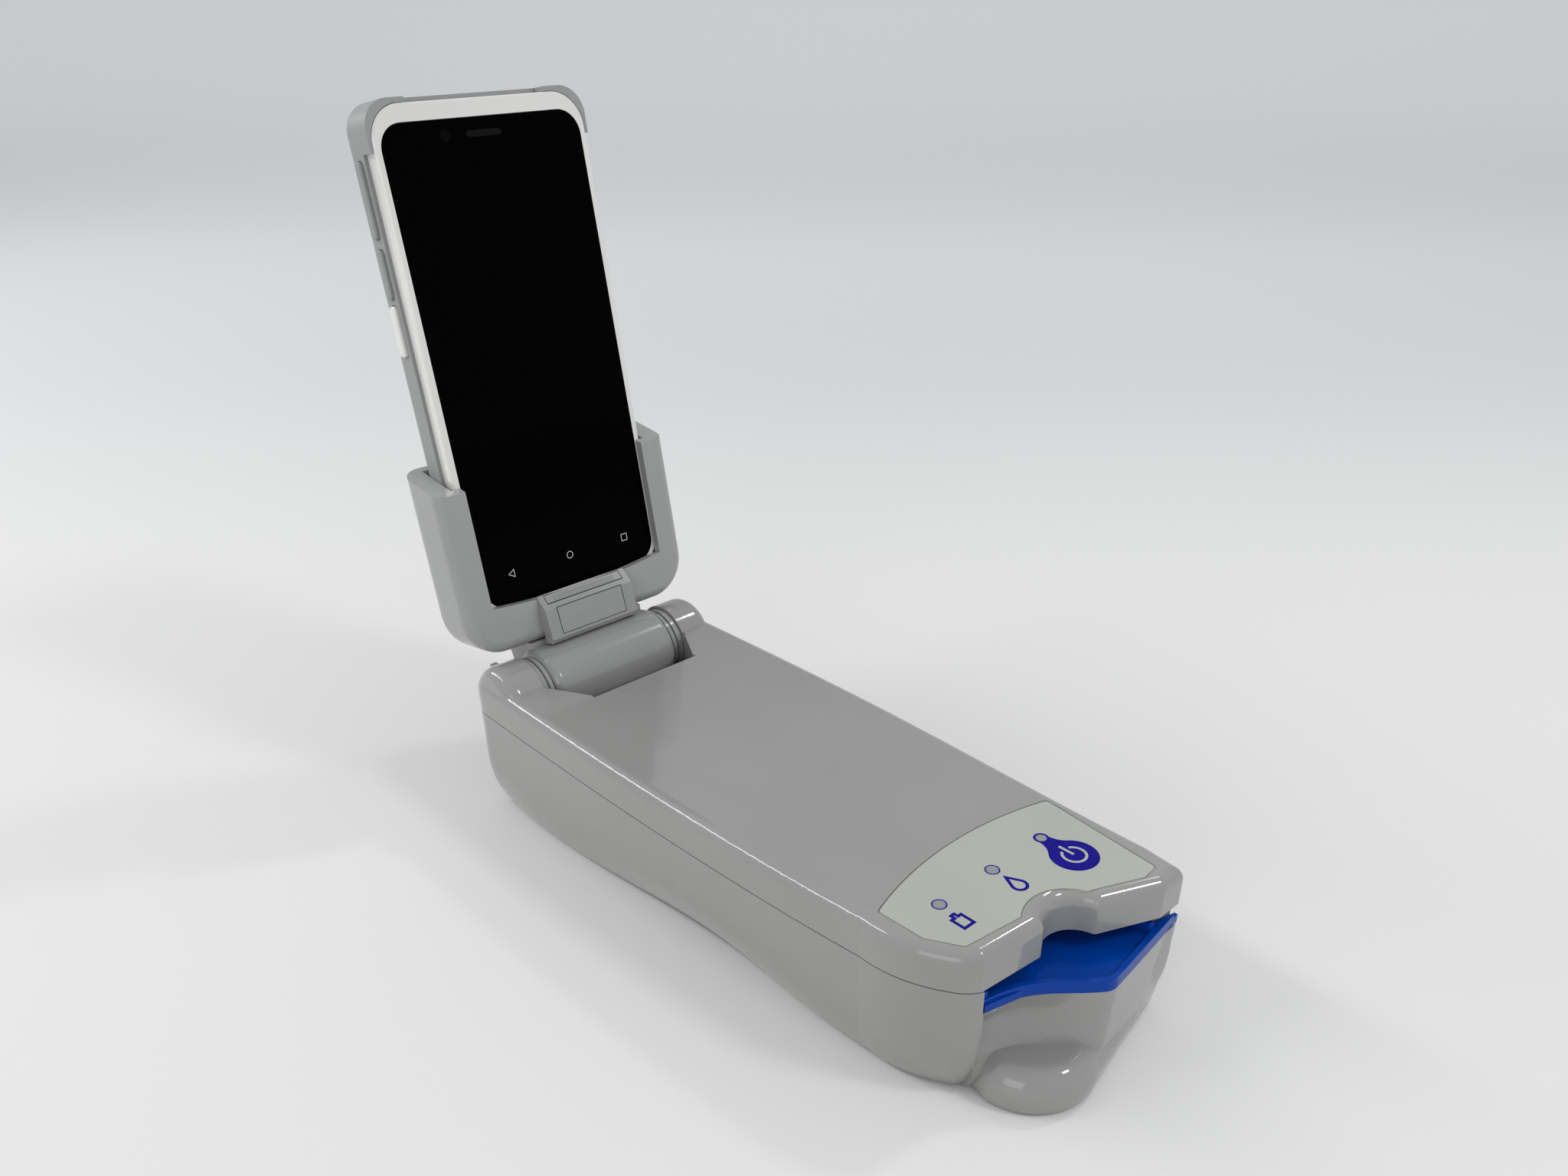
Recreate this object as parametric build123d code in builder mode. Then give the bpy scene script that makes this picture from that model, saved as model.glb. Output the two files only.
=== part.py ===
"""Hand-held blood gas card reader with a hinged cradle that holds its touch-screen host.

Frame: +X right, +Y back, +Z up, millimetres. The origin lies on the surface that the reader
rests on, under the middle of its sole pad. The card slot is at the front (-Y), the hinge at
the rear. The front is slanted: it is turned about Z, so its pieces are drawn across and
behind the slanted face. The cradle, latch and host are drawn on a plane through the hinge
axis that leans back with the screen: x across, u up the screen, w out of the screen.
"""

from build123d import *
from math import cos, radians, sin
import os

os.makedirs("parts", exist_ok=True)

# Reader housing
top_z = 50.0
split_z = 38.0
seam_high = 0.4
seam_deep = 0.4
straight_z = 24.0
sole_z = 0.8
wall = 2.4
half_width = 44.3
rear_y = 112.0
rear_corner = 10.0
top_edge_radius = 4.0
edge_rounding = 1.5
foot_inset = 5.5
waist_depth = 5.0
waist_y = -13.0

# Slanted front
slant = 14.0
front_x = 0.5
front_y = -110.0
face_half = half_width - 14.8
face_dip = 3.4
notch_x = 0.6
notch_half = 8.8
notch_depth = 6.0
nose_x = 6.0
nose_reach = 9.3
nose_radius = 2.5
nose_left = 1.1 - face_half
nose_right = face_half + 10.8
nose_shift = 6.0
hollow_depth = 4.0
tongue_reach = 16.2
tongue_top = 12.8
front_wall = 8.0

# Card tray and slot
tray_z = 30.0
tray_floor = 2.4
tray_rim = 3.9
rim_wall = 1.6
slot_x = 1.0
slot_half = 26.0
slot_end_y = -50.0
side_rail = 6.0
tray_side_gap = 0.3
guide_z = 38.3
guide_thickness = 1.6

# Label and its button
label_depth = 0.5
label_thickness = 0.45
label_gap = 0.3
label_rear_y = -73.0
label_half = half_width - 8.3
label_arch = 6.8
label_notch = 10.8
button_x = 21.2
button_y = -93.0
button_radius = 6.6
button_gap = 0.2
button_travel = 0.5
lens_radius = 1.5
lens_y = -81.8
lens_x = (-21.4, 0.0, 21.2)

# Hinge
hinge_y = 96.5
hinge_z = 43.0
shaft_radius = 4.0
shaft_gap = 0.05
ear_radius = 12.8
ear_inner = 29.6
ear_outer = 42.6
ear_round = 4.5
shaft_half = 39.0
barrel_radius = 13.8
barrel_half = 25.0
collar_radius = 11.8
collar_gap = 0.3
pocket_front_y = 70.0
pocket_front_half = 21.5
pocket_gap = 1.2
ledge_depth = 1.6
ledge_width = 1.8
well_radius = barrel_radius + pocket_gap
well_half = ear_inner
pocket_floor_z = 40.0
well_bottom = hinge_z - well_radius - wall

# Screen plane
lean = 10.2
glass_w = -4.1
glass_bottom = 29.9
glass_height = 146.5
glass_half = 34.4

# Host
host_half = 37.75
host_bottom = 25.6
host_top = 183.2
host_back_w = -20.0
boot_edge = 4.5
frame_w = -9.5
frame_half = 36.6
boot_wall = 2.0
boot_corner = 8.5
frame_corner = 10.5
glass_corner = 7.5
glass_thickness = 1.1
frame_low = 27.2
frame_high = 181.6
bumper = 14.0
display_low = 46.0
display_high = 163.0
key_spans = [(146.6, 167.7), (129.6, 143.6), (112.6, 127.6)]
key_w = -13.0
key_wide = 3.4
key_proud = 1.1
key_inner = 2.4
key_gap = 0.2
ear_u = 171.9
camera_x = -13.3
camera_u = 163.0
window_w = -12.7
host_screws_at = [(side * 30.0, u) for side in (-1, 1) for u in (38.0, 172.0)]

# Cradle
cradle_half = 45.0
cradle_bottom = 15.5
cradle_corner = 14.0
cradle_top = 77.5
cradle_front_w = -0.9
cradle_back_w = -23.0
back_thickness = 2.6
front_edge = 4.0
rear_edge = 7.0
lip_thickness = 2.9
lip_half = 34.8
lip_top = 70.8
chin_top = 29.4
chin_side = 31.6
pocket_floor = 25.5
fit_gap = 0.35

# Latch block
block_half = 17.8
block_front = 4.0
block_top = 30.6
block_low = 14.4
tab_half = 15.4
tab_gap = 0.25
tab_low = 22.6
latch_travel = 2.0
plate_half = 13.2
plate_thickness = 0.8

# Underside and rear
pad_wide = 52.0
front_pad_y = -36.0
front_pad_long = 116.0
rear_pad_y = 95.0
rear_pad_long = 18.0
pad_recess = 0.7
pad_gap = 0.2
hatch_y = 55.0
hatch_x = 52.0
hatch_long = 50.0
lid_thickness = 1.6
lid_gap = 0.25
hatch_screws = [(0.0, hatch_y - hatch_long / 2 + 2.3), (0.0, hatch_y + hatch_long / 2 - 2.3)]
recess_y = 110.0
recess_wide = 28.0
recess_high = 8.0
charge_z = 14.0
charge_x = (-9.0, -3.0, 3.0, 9.0)
charge_radius = 1.5
charge_board_y = 102.0

# Inner pieces
button_seat_z = 48.3
key_board_z = 44.0
key_board_y = -87.5
key_board_posts = [(side * 25.0, y) for side in (-1, 1) for y in (-95.0, -80.0)]
guide_rows = (-70.0, -56.0)
plunger_x = 1.0
plunger_y = -84.0
plunger_radius = 3.0
plunger_gap = 0.06
can_top = 28.0
pin_z = 35.0
pin_pitch = 3.2
pin_count = 11
battery_high = 16.0
board_mid_y = -5.0
board_long = 86.0
screw_long = 25.0
collar_long = 4.0
dock_half = 12.0
dock_high = 5.0
dock_deep = 6.0
dock_w = -14.0
lug = 1.2
tab_deep = 2.2
tab_slope = 1.16
neck_half = 23.0
neck_back = 17.5
arm_screw_x = 16.6
arm_screw_w = -11.5
board_z = 24.0
board_thickness = 1.6
board_posts = [(side * 22.0, y) for side in (-1, 1) for y in (-34.0, 20.0)]
boss_top = 29.8
boss_gap = 0.2
screw_seat_z = 14.0
screw_rows = ((29.5, -36.0), (32.0, 68.0))
screw_radius = 1.4
screw_head = 2.8


def front(x, y):
    """A point given across and behind the slanted face, as a point of the plan."""
    turn = radians(slant)
    return (
        front_x + x * cos(turn) + y * sin(turn),
        front_y - x * sin(turn) + y * cos(turn),
    )


def drawn_in(point, heading, inset):
    """A point of the outline, moved inset along its own inward heading in degrees."""
    x, y = point
    return (x + inset * cos(radians(heading)), y + inset * sin(radians(heading)))


def side_points(side, inset, waist, front_end):
    """Points down one long side, from the rear corner to where the front corner starts."""
    stations = [
        (rear_y - rear_corner, 1.1, 0.0),
        (40.0, 0.0, 0.25),
        (waist_y, 0.5, 1.0),
        (-48.0, 1.9, 0.3),
        (front_end, 3.7, 0.0),
    ]
    return [
        (side * (half_width - draw - inset - waist * share), y)
        for y, draw, share in stations
    ]


def body_outline(inset=0.0, waist=0.0, rounding=0.0):
    """Plan outline of the body, drawn in by inset and, along its sides, by waist."""
    corner = rear_corner - inset
    diagonal = corner * sin(radians(45))
    corner_x = half_width - 1.1 - rear_corner
    corner_y = rear_y - rear_corner
    left = side_points(-1, inset, waist, -72.0)
    right = side_points(1, inset, waist, -104.0)
    left_bend = drawn_in(front(-face_half - 14.1, 12.8), 20, inset)
    left_corner = drawn_in(front(-face_half - 7.1, 4.3), 40, inset)
    left_nose = drawn_in(front(-face_half - 3.5, 1.4), 55, inset)
    face_left = front(-face_half + 0.3 * inset, inset)
    face_right = front(face_half - 0.3 * inset, inset)
    right_facet = drawn_in(front(face_half + 9.5, 2.4), 125, inset)
    with BuildSketch() as plan:
        with BuildLine():
            Spline(left)
            ThreePointArc(left[-1], left_bend, left_corner)
            ThreePointArc(left_corner, left_nose, face_left)
            Line(face_left, face_right)
            Line(face_right, right_facet)
            Line(right_facet, right[-1])
            Spline(right[::-1])
            ThreePointArc(
                right[0],
                (corner_x + diagonal, corner_y + diagonal),
                (corner_x, corner_y + corner),
            )
            Line((corner_x, corner_y + corner), (-corner_x, corner_y + corner))
            ThreePointArc(
                (-corner_x, corner_y + corner),
                (-corner_x - diagonal, corner_y + diagonal),
                left[0],
            )
        make_face()
        if rounding > 0:
            corners = [left_corner, face_left, face_right, right_facet, right[-1]]
            nearest = [plan.vertices().sort_by_distance((x, y, 0))[0] for x, y in corners]
            fillet(nearest, rounding)
    return plan.sketch


def nose_outline(inset=0.0, foot=0.0, scoop=0.0, into=0.0):
    """Plan of the pointed part under the tray, at a share foot of the way to the floor.

    Its left flank is hollowed by scoop. Towards the floor its tip moves left and out, over
    the tongue, and its right end moves in. It reaches into the housing's left corner by into.
    """
    tip_x = nose_x - nose_shift * foot
    reach = nose_reach + 2.9 * foot**2 - inset
    left_end = front(nose_left + inset - into, 0.8 + scoop + inset + 0.2 * into)
    left_mid = front(nose_left / 2 - 0.5 * nose_shift * foot, scoop + inset - 0.3)
    tip_left = front(tip_x - nose_radius, 0.6 - reach)
    tip_right = front(tip_x + nose_radius, 0.5 - reach)
    right_end = front(nose_right - 3.3 * foot - inset, 3.6 + 2.2 * foot + inset)
    rear_right = front(face_half + 6.5 - 7.0 * foot, 22.0)
    with BuildSketch() as plan:
        with BuildLine():
            Spline([left_end, left_mid, tip_left], tangents=[(1, -0.2), (1, -0.75)])
            ThreePointArc(tip_left, front(tip_x, -reach), tip_right)
            Line(tip_right, right_end)
            Line(right_end, rear_right)
            Line(rear_right, front(nose_left + 3.4, 22.0))
            Line(front(nose_left + 3.4, 22.0), left_end)
        make_face()
    return plan.sketch


def tongue_outline(inset=0.0):
    """Plan of the rounded tongue at the foot of the front, straight along its right flank."""
    left = nose_left + 0.9 + inset
    tip = front(-11.0, inset - tongue_reach)
    right_bend = front(3.0 - 0.5 * inset, inset - tongue_reach + 3.9)
    right_end = front(face_half + 6.5 - inset, 4.4 + inset)
    with BuildSketch() as plan:
        with BuildLine():
            Line(front(left, 14.0), front(left, -2.5))
            ThreePointArc(front(left, -2.5), front(inset * 0.7 - 22.5, inset * 0.7 - 10.5), tip)
            ThreePointArc(tip, front(-4.0, inset - tongue_reach + 0.6), right_bend)
            Line(right_bend, right_end)
            Line(right_end, front(face_half + 1.5, 14.0))
            Line(front(face_half + 1.5, 14.0), front(left, 14.0))
        make_face()
    return plan.sketch


def front_band(near, far, left=-60.0, right=60.0):
    """A band of the plan that runs along the slanted face, between two depths behind it."""
    with BuildSketch() as plan:
        Polygon(
            front(left, near), front(right, near), front(right, far), front(left, far), align=None
        )
    return plan.sketch


def cover_outline(inset=0.0, rounding=0.0):
    """Plan outline of the top cover, whose lip dips to a round notch in the middle."""
    with BuildSketch() as plan:
        add(body_outline(inset))
        with BuildLine():
            dip_left = front(notch_x - notch_half - inset, face_dip + inset)
            dip_right = front(notch_x + notch_half + inset, face_dip + inset)
            Line(front(-face_half + 0.3 * inset, inset), dip_left)
            ThreePointArc(
                dip_left, front(notch_x, face_dip + notch_depth + inset), dip_right
            )
            Line(dip_right, front(face_half - 0.3 * inset, inset))
            Line(front(face_half - 0.3 * inset, inset), front(face_half, -5.0))
            Line(front(face_half, -5.0), front(-face_half, -5.0))
            Line(front(-face_half, -5.0), front(-face_half + 0.3 * inset, inset))
        make_face(mode=Mode.SUBTRACT)
        if rounding > 0:
            fillet([vertex for vertex in plan.vertices() if vertex.Y < -95.0], rounding)
    return plan.sketch


def slot_plan(half, far):
    """Plan of the card's straight way in, from before the slanted face to far."""
    with BuildSketch() as plan:
        with Locations((slot_x, far)):
            Rectangle(2 * half, 80.0, align=(Align.CENTER, Align.MAX))
    return plan.sketch


def screw_places():
    """Where the case screws stand, two in each row."""
    return [(side * x, y) for side in (-1, 1) for x, y in screw_rows]


def label_outline(grow=0.0):
    """Plan of the label: arched behind, notched in front, its front right corner cut off."""
    low = 4.6 - grow
    with BuildSketch() as plan:
        with BuildLine():
            rear_left = (-label_half + 1.2 - grow, label_rear_y + grow)
            rear_right = (label_half + 1.2 + grow, label_rear_y + 1.5 + grow)
            side_right = front(face_half + 2.1 + grow, 6.6)
            cut_right = front(face_half - 3.5, low)
            dip_right = front(notch_x - 2.6 + label_notch, low + 3.0)
            dip_left = front(notch_x - 2.6 - label_notch, low + 3.0)
            front_left = front(-face_half - 2.4 - 0.5 * grow, low + 0.6)
            side_left = (1.6 - label_half - grow, -88.0)
            ThreePointArc(rear_right, (4.0, label_rear_y + label_arch + grow), rear_left)
            Line(rear_left, side_left)
            Line(side_left, front_left)
            Line(front_left, dip_left)
            ThreePointArc(dip_left, front(notch_x - 2.6, low + 8.4), dip_right)
            Line(dip_right, cut_right)
            Line(cut_right, side_right)
            Line(side_right, rear_right)
        make_face()
        fillet(plan.vertices(), 1.2)
    return plan.sketch


def well_plan(grow):
    """Corners of the opening in front of and over the barrel."""
    half = [
        (pocket_front_half + grow, pocket_front_y - grow),
        (well_half + grow, hinge_y - ear_radius + 1.0 - 0.5 * grow),
        (well_half + grow, rear_y + 3.0),
    ]
    return half + [(-x, y) for x, y in reversed(half)]


def pad_plan(grow):
    """Plan of the two sole pads."""
    with BuildSketch() as plan:
        with Locations((0, front_pad_y)):
            RectangleRounded(pad_wide + 2 * grow, front_pad_long + 2 * grow, 9.0)
        with Locations((0, rear_pad_y)):
            RectangleRounded(pad_wide + 2 * grow, rear_pad_long + 2 * grow, 4.0)
    return plan.sketch


def upright(half, low, high, radius):
    """A rounded panel drawn on the screen plane, from low to high up the screen."""
    with BuildSketch() as plan:
        with Locations((0, (low + high) / 2)):
            RectangleRounded(2 * half, high - low, radius)
    return plan.sketch


def cradle_outline():
    """Front view of the cradle, open at the top, its two lower corners rounded."""
    with BuildSketch() as plan:
        with Locations((0, cradle_bottom)):
            Rectangle(2 * cradle_half, 70.0, align=(Align.CENTER, Align.MIN))
        fillet(plan.vertices().group_by(Axis.Y)[0], cradle_corner)
    return plan.sketch


screen = Plane(
    origin=(0, hinge_y, hinge_z),
    x_dir=(1, 0, 0),
    z_dir=(0, -cos(radians(lean)), sin(radians(lean))),
)
hinge_side = Plane(origin=(0, hinge_y, hinge_z), x_dir=(0, 1, 0), z_dir=(1, 0, 0))
screen_side = Plane(
    origin=(0, hinge_y, hinge_z),
    x_dir=(0, cos(radians(lean)), -sin(radians(lean))),
    z_dir=(1, 0, 0),
)
screen_axis = Axis((0, hinge_y, hinge_z), (0, -cos(radians(lean)), sin(radians(lean))))
# Across the foot of the cradle: x across, y out of the screen, looking up the screen
floor_plane = Plane(
    origin=(0, hinge_y, hinge_z),
    x_dir=(-1, 0, 0),
    z_dir=(0, sin(radians(lean)), cos(radians(lean))),
)
# Left flank of the host: x up the screen, y out of it, looking left
key_plane = Plane(
    origin=(-host_half, hinge_y, hinge_z),
    x_dir=(0, sin(radians(lean)), cos(radians(lean))),
    z_dir=(-1, 0, 0),
)

# Lower shell: a tub with a waist at its foot, a pointed nose under the tray whose left flank
# is hollow, and a rounded tongue that runs into the nose's right flank.
sections = [
    (sole_z, foot_inset, waist_depth),
    (7.0, 2.3, 0.7 * waist_depth),
    (14.0, 0.5, 0.3 * waist_depth),
    (straight_z, 0.0, 0.0),
]
nose_sections = [(sole_z, 1.0, 0.8), (13.0, 0.2, 0.3), (21.0, 1.0, 0.12), (tray_z, 0.0, 0.0)]
tongue_sections = [(sole_z, 0.6), (3.0, 0.0), (8.0, 0.5), (11.0, 2.4), (tongue_top, 6.5)]
floor_z = sole_z + wall
with BuildPart() as lower_shell:
    for z, inset, waist in sections:
        with BuildSketch(Plane.XY.offset(z)):
            add(body_outline(inset, waist, edge_rounding))
    loft()
    with BuildSketch(Plane.XY.offset(straight_z)):
        add(body_outline(0.0, 0.0, edge_rounding))
    extrude(amount=split_z - seam_high - straight_z)
    with BuildSketch(Plane.XY.offset(split_z - seam_high)):
        add(body_outline(seam_deep))
    extrude(amount=seam_high)
    with BuildSketch(Plane.XY.offset(sole_z)):
        add(front_band(-8.0, front_wall - 1.0, nose_left, face_half - 3.0))
    extrude(amount=tray_z - sole_z, mode=Mode.SUBTRACT)
    for z, scoop, foot in nose_sections:
        with BuildSketch(Plane.XY.offset(z)):
            add(nose_outline(0.0, foot, scoop * hollow_depth, 1.0))
    loft()
    for z, inset in tongue_sections:
        with BuildSketch(Plane.XY.offset(z)):
            add(tongue_outline(inset))
    loft()
    # Room inside, in steps that follow the sides, behind the thick front
    lows = [(floor_z, foot_inset, waist_depth)] + sections[1:3]
    highs = [section[0] for section in sections[1:3]] + [split_z]
    for (z, inset, waist), high in zip(lows, highs):
        with BuildSketch(Plane.XY.offset(z)):
            add(body_outline(inset + wall, waist))
            add(front_band(-20.0, front_wall), mode=Mode.SUBTRACT)
        extrude(amount=high - z, mode=Mode.SUBTRACT)
    # Hinge well, open to the rear, with a saddle under each end of the shaft
    with BuildSketch(Plane.XY.offset(well_bottom)):
        with Locations((0, hinge_y)):
            Rectangle(2 * (half_width - 3.0), 2 * (rear_y - 1.0 - hinge_y))
        add(body_outline(seam_deep + 0.2), mode=Mode.INTERSECT)
    extrude(amount=split_z - well_bottom)
    with BuildSketch(Plane.YZ.offset(-well_half)):
        with Locations((hinge_y, hinge_z)):
            Circle(well_radius)
        with Locations((hinge_y, hinge_z - well_radius)):
            Rectangle(30.0, 30.0, align=(Align.MIN, Align.MIN))
    extrude(amount=2 * well_half, mode=Mode.SUBTRACT)
    for side in (-1, 1):
        with BuildSketch(Plane.XY.offset(split_z)):
            with Locations((side * (shaft_half + 31.0) / 2, hinge_y)):
                Rectangle(shaft_half - 31.0, 2 * (shaft_radius - 0.3))
        extrude(amount=hinge_z - split_z)
    with BuildSketch(Plane.YZ.offset(-half_width)):
        with Locations((hinge_y, hinge_z)):
            Circle(shaft_radius + shaft_gap)
    extrude(amount=2 * half_width, mode=Mode.SUBTRACT)
    # Screw bosses, counterbored from below
    with BuildSketch(Plane.XY.offset(floor_z)):
        with Locations(screw_places()):
            Circle(4.0)
    extrude(amount=boss_top - floor_z)
    with Locations([(x, y, boss_top) for x, y in screw_places()]):
        Hole(screw_radius + 0.2, depth=boss_top)
    with BuildSketch(Plane.XY.offset(sole_z)):
        with Locations(screw_places()):
            Circle(screw_head + 0.2)
    extrude(amount=screw_seat_z - sole_z, mode=Mode.SUBTRACT)
    # Posts under the board
    with BuildSketch(Plane.XY.offset(floor_z)):
        with Locations(board_posts):
            Circle(2.5)
    extrude(amount=board_z - floor_z)
    # Way in for the tray
    with BuildSketch(Plane.XY.offset(tray_z)):
        add(front_band(-20.0, 5.0, nose_left - tray_side_gap, face_half + 16.5))
        add(slot_plan(slot_half + rim_wall + tray_side_gap, -95.0))
    extrude(amount=split_z - tray_z, mode=Mode.SUBTRACT)
    # Rib under the rear of the tray
    with BuildSketch(Plane.XY.offset(floor_z)):
        with Locations((slot_x, slot_end_y - 1.0)):
            Rectangle(2 * slot_half, 2.0)
    extrude(amount=tray_z - floor_z)
    # Battery hatch: a ledge round the opening takes the lid
    with BuildSketch(Plane.XY.offset(sole_z)):
        with Locations((0, hatch_y)):
            RectangleRounded(hatch_x + 2 * lid_gap, hatch_long + 2 * lid_gap, 4.0)
    extrude(amount=lid_thickness, mode=Mode.SUBTRACT)
    with BuildSketch(Plane.XY.offset(sole_z)):
        with Locations((0, hatch_y)):
            RectangleRounded(hatch_x - 8.0, hatch_long - 8.0, 3.0)
    extrude(amount=2 * wall, mode=Mode.SUBTRACT)
    with BuildSketch(Plane.XY.offset(sole_z + lid_thickness)):
        with Locations(hatch_screws):
            Circle(2.2)
    extrude(amount=6.0)
    with BuildSketch(Plane.XY.offset(sole_z + lid_thickness)):
        with Locations(hatch_screws):
            Circle(1.15)
    extrude(amount=5.0, mode=Mode.SUBTRACT)
    # Recesses for the sole pads
    with BuildSketch(Plane.XY.offset(sole_z)):
        add(pad_plan(pad_gap))
    extrude(amount=pad_recess, mode=Mode.SUBTRACT)
    # Recess for the charging pins in the rear wall
    with BuildSketch(Plane.XZ.offset(-recess_y)):
        with Locations((0, charge_z)):
            RectangleRounded(recess_wide, recess_high, 2.0)
    extrude(amount=-10.0, mode=Mode.SUBTRACT)
    with BuildSketch(Plane.XZ.offset(-rear_y)):
        with Locations([(x, charge_z) for x in charge_x]):
            Circle(charge_radius + 0.1)
    extrude(amount=10.0, mode=Mode.SUBTRACT)
lower_shell.part.label = "lower_shell"
export_step(lower_shell.part, "parts/lower_shell.step")

# Top cover: lip with a round notch over the slot, a well for the barrel and the two ears
inner_top = top_z - wall
with BuildPart() as ear:
    with BuildSketch(Plane.YZ.offset(ear_inner)):
        with Locations((hinge_y, hinge_z)):
            Circle(ear_radius)
    extrude(amount=ear_outer - ear_inner)
    fillet(ear.edges().filter_by(GeomType.CIRCLE).sort_by(Axis.X)[-1], ear_round)
with BuildPart() as top_cover:
    with BuildSketch(Plane.XY.offset(split_z)):
        add(cover_outline(0.0, edge_rounding))
    extrude(amount=top_z - split_z)
    fillet(top_cover.faces().sort_by(Axis.Z)[-1].edges(), top_edge_radius)
    with BuildSketch(Plane.XY.offset(split_z)):
        add(cover_outline(wall))
    extrude(amount=inner_top - split_z, mode=Mode.SUBTRACT)
    # Pocket before the barrel, with a floor, and the barrel's trench behind it
    with BuildSketch(Plane.XY.offset(split_z)):
        Polygon(*well_plan(wall), align=None)
    extrude(amount=inner_top - split_z + 0.5)
    with BuildSketch(Plane.XY.offset(pocket_floor_z)):
        Polygon(*well_plan(0.0), align=None)
    extrude(amount=top_z - pocket_floor_z, mode=Mode.SUBTRACT)
    with BuildSketch(Plane.YZ.offset(-well_half)):
        with Locations((hinge_y, hinge_z)):
            Circle(well_radius)
        with Locations((hinge_y, split_z - 1.0)):
            Rectangle(30.0, 30.0, align=(Align.MIN, Align.MIN))
    extrude(amount=2 * well_half, mode=Mode.SUBTRACT)
    with BuildSketch(Plane.XY.offset(split_z)):
        Rectangle(200.0, 300.0)
    extrude(amount=-20.0, mode=Mode.SUBTRACT)
    with BuildSketch(Plane.XY.offset(top_z - ledge_depth)):
        with Locations((0, pocket_front_y)):
            Rectangle(2 * pocket_front_half, 2 * ledge_width)
    extrude(amount=2 * ledge_depth, mode=Mode.SUBTRACT)
    # Ears, with a slot from below that drops over the shaft
    add(ear.part)
    add(mirror(ear.part, about=Plane.YZ))
    with BuildSketch(Plane.XY.offset(split_z)):
        with Locations((0, hinge_y)):
            Rectangle(2 * half_width + 2.0, 3 * ear_radius)
    extrude(amount=-20.0, mode=Mode.SUBTRACT)
    with BuildSketch(Plane.YZ.offset(-shaft_half - 0.2)):
        with Locations((hinge_y, hinge_z)):
            Circle(shaft_radius + shaft_gap)
        with Locations((hinge_y, hinge_z)):
            Rectangle(2 * (shaft_radius + shaft_gap), 10.0, align=(Align.CENTER, Align.MAX))
    extrude(amount=2 * (shaft_half + 0.2), mode=Mode.SUBTRACT)
    # Screw bosses
    with BuildSketch(Plane.XY.offset(boss_top + boss_gap)):
        with Locations(screw_places()):
            Circle(3.4)
    extrude(amount=inner_top - boss_top)
    with BuildSketch(Plane.XY.offset(boss_top + boss_gap)):
        with Locations(screw_places()):
            Circle(screw_radius + 0.05)
    extrude(amount=13.0, mode=Mode.SUBTRACT)
    # Posts for the key board
    with BuildSketch(Plane.XY.offset(key_board_z + 1.2)):
        with Locations(key_board_posts):
            Circle(2.0)
    extrude(amount=inner_top - key_board_z - 1.0)
    # Recess for the label, seat for the button and ways down for the light pipes
    with BuildSketch(Plane.XY.offset(top_z - label_depth)):
        add(label_outline(label_gap))
    extrude(amount=2 * label_depth, mode=Mode.SUBTRACT)
    with BuildSketch(Plane.XY.offset(button_seat_z)):
        with Locations((button_x, button_y)):
            Circle(button_radius + button_gap)
    extrude(amount=5.0, mode=Mode.SUBTRACT)
    with BuildSketch(Plane.XY.offset(inner_top - 1.0)):
        with Locations((button_x, button_y)):
            Circle(button_radius - 1.6)
        with Locations([(x, lens_y) for x in lens_x]):
            Circle(lens_radius + 0.1)
    extrude(amount=2 * wall, mode=Mode.SUBTRACT)
top_cover.part.label = "top_cover"
export_step(top_cover.part, "parts/top_cover.step")

with BuildPart() as label_panel:
    with BuildSketch(Plane.XY.offset(top_z - label_depth)):
        add(label_outline())
        with Locations((button_x, button_y)):
            Circle(button_radius + button_gap, mode=Mode.SUBTRACT)
        with Locations([(x, lens_y) for x in lens_x]):
            Circle(lens_radius + 0.1, mode=Mode.SUBTRACT)
    extrude(amount=label_thickness)
label_panel.part.label = "label_panel"
export_step(label_panel.part, "parts/label_panel.step")

with BuildPart() as power_button:
    with BuildSketch(Plane.XY.offset(button_seat_z + button_travel + 0.1)):
        with Locations((button_x, button_y)):
            Circle(button_radius)
    extrude(amount=top_z + 0.2 - button_seat_z - button_travel - 0.1)
    chamfer(power_button.faces().sort_by(Axis.Z)[-1].edges(), 0.25)
    with BuildSketch(Plane.XY.offset(button_seat_z + button_travel + 0.1)):
        with Locations((button_x, button_y)):
            Circle(2.0)
    extrude(amount=-2.2)
power_button.part.label = "power_button"
export_step(power_button.part, "parts/power_button.step")

with BuildPart() as status_lenses:
    with BuildSketch(Plane.XY.offset(key_board_z + 1.2)):
        with Locations([(x, lens_y) for x in lens_x]):
            Circle(lens_radius)
    extrude(amount=top_z - label_depth + label_thickness - key_board_z - 1.2)
status_lenses.part.label = "status_lenses"
export_step(status_lenses.part, "parts/status_lenses.step")

with BuildPart() as key_board:
    with BuildSketch(Plane.XY.offset(key_board_z)):
        with Locations((0, key_board_y)):
            RectangleRounded(56.0, 20.0, 2.0)
    extrude(amount=1.2)
    with BuildSketch(Plane.XY.offset(key_board_z + 1.2)):
        with Locations((button_x, button_y)):
            Rectangle(3.2, 3.2)
    extrude(amount=0.6)
key_board.part.label = "key_board"
export_step(key_board.part, "parts/key_board.step")

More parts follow.
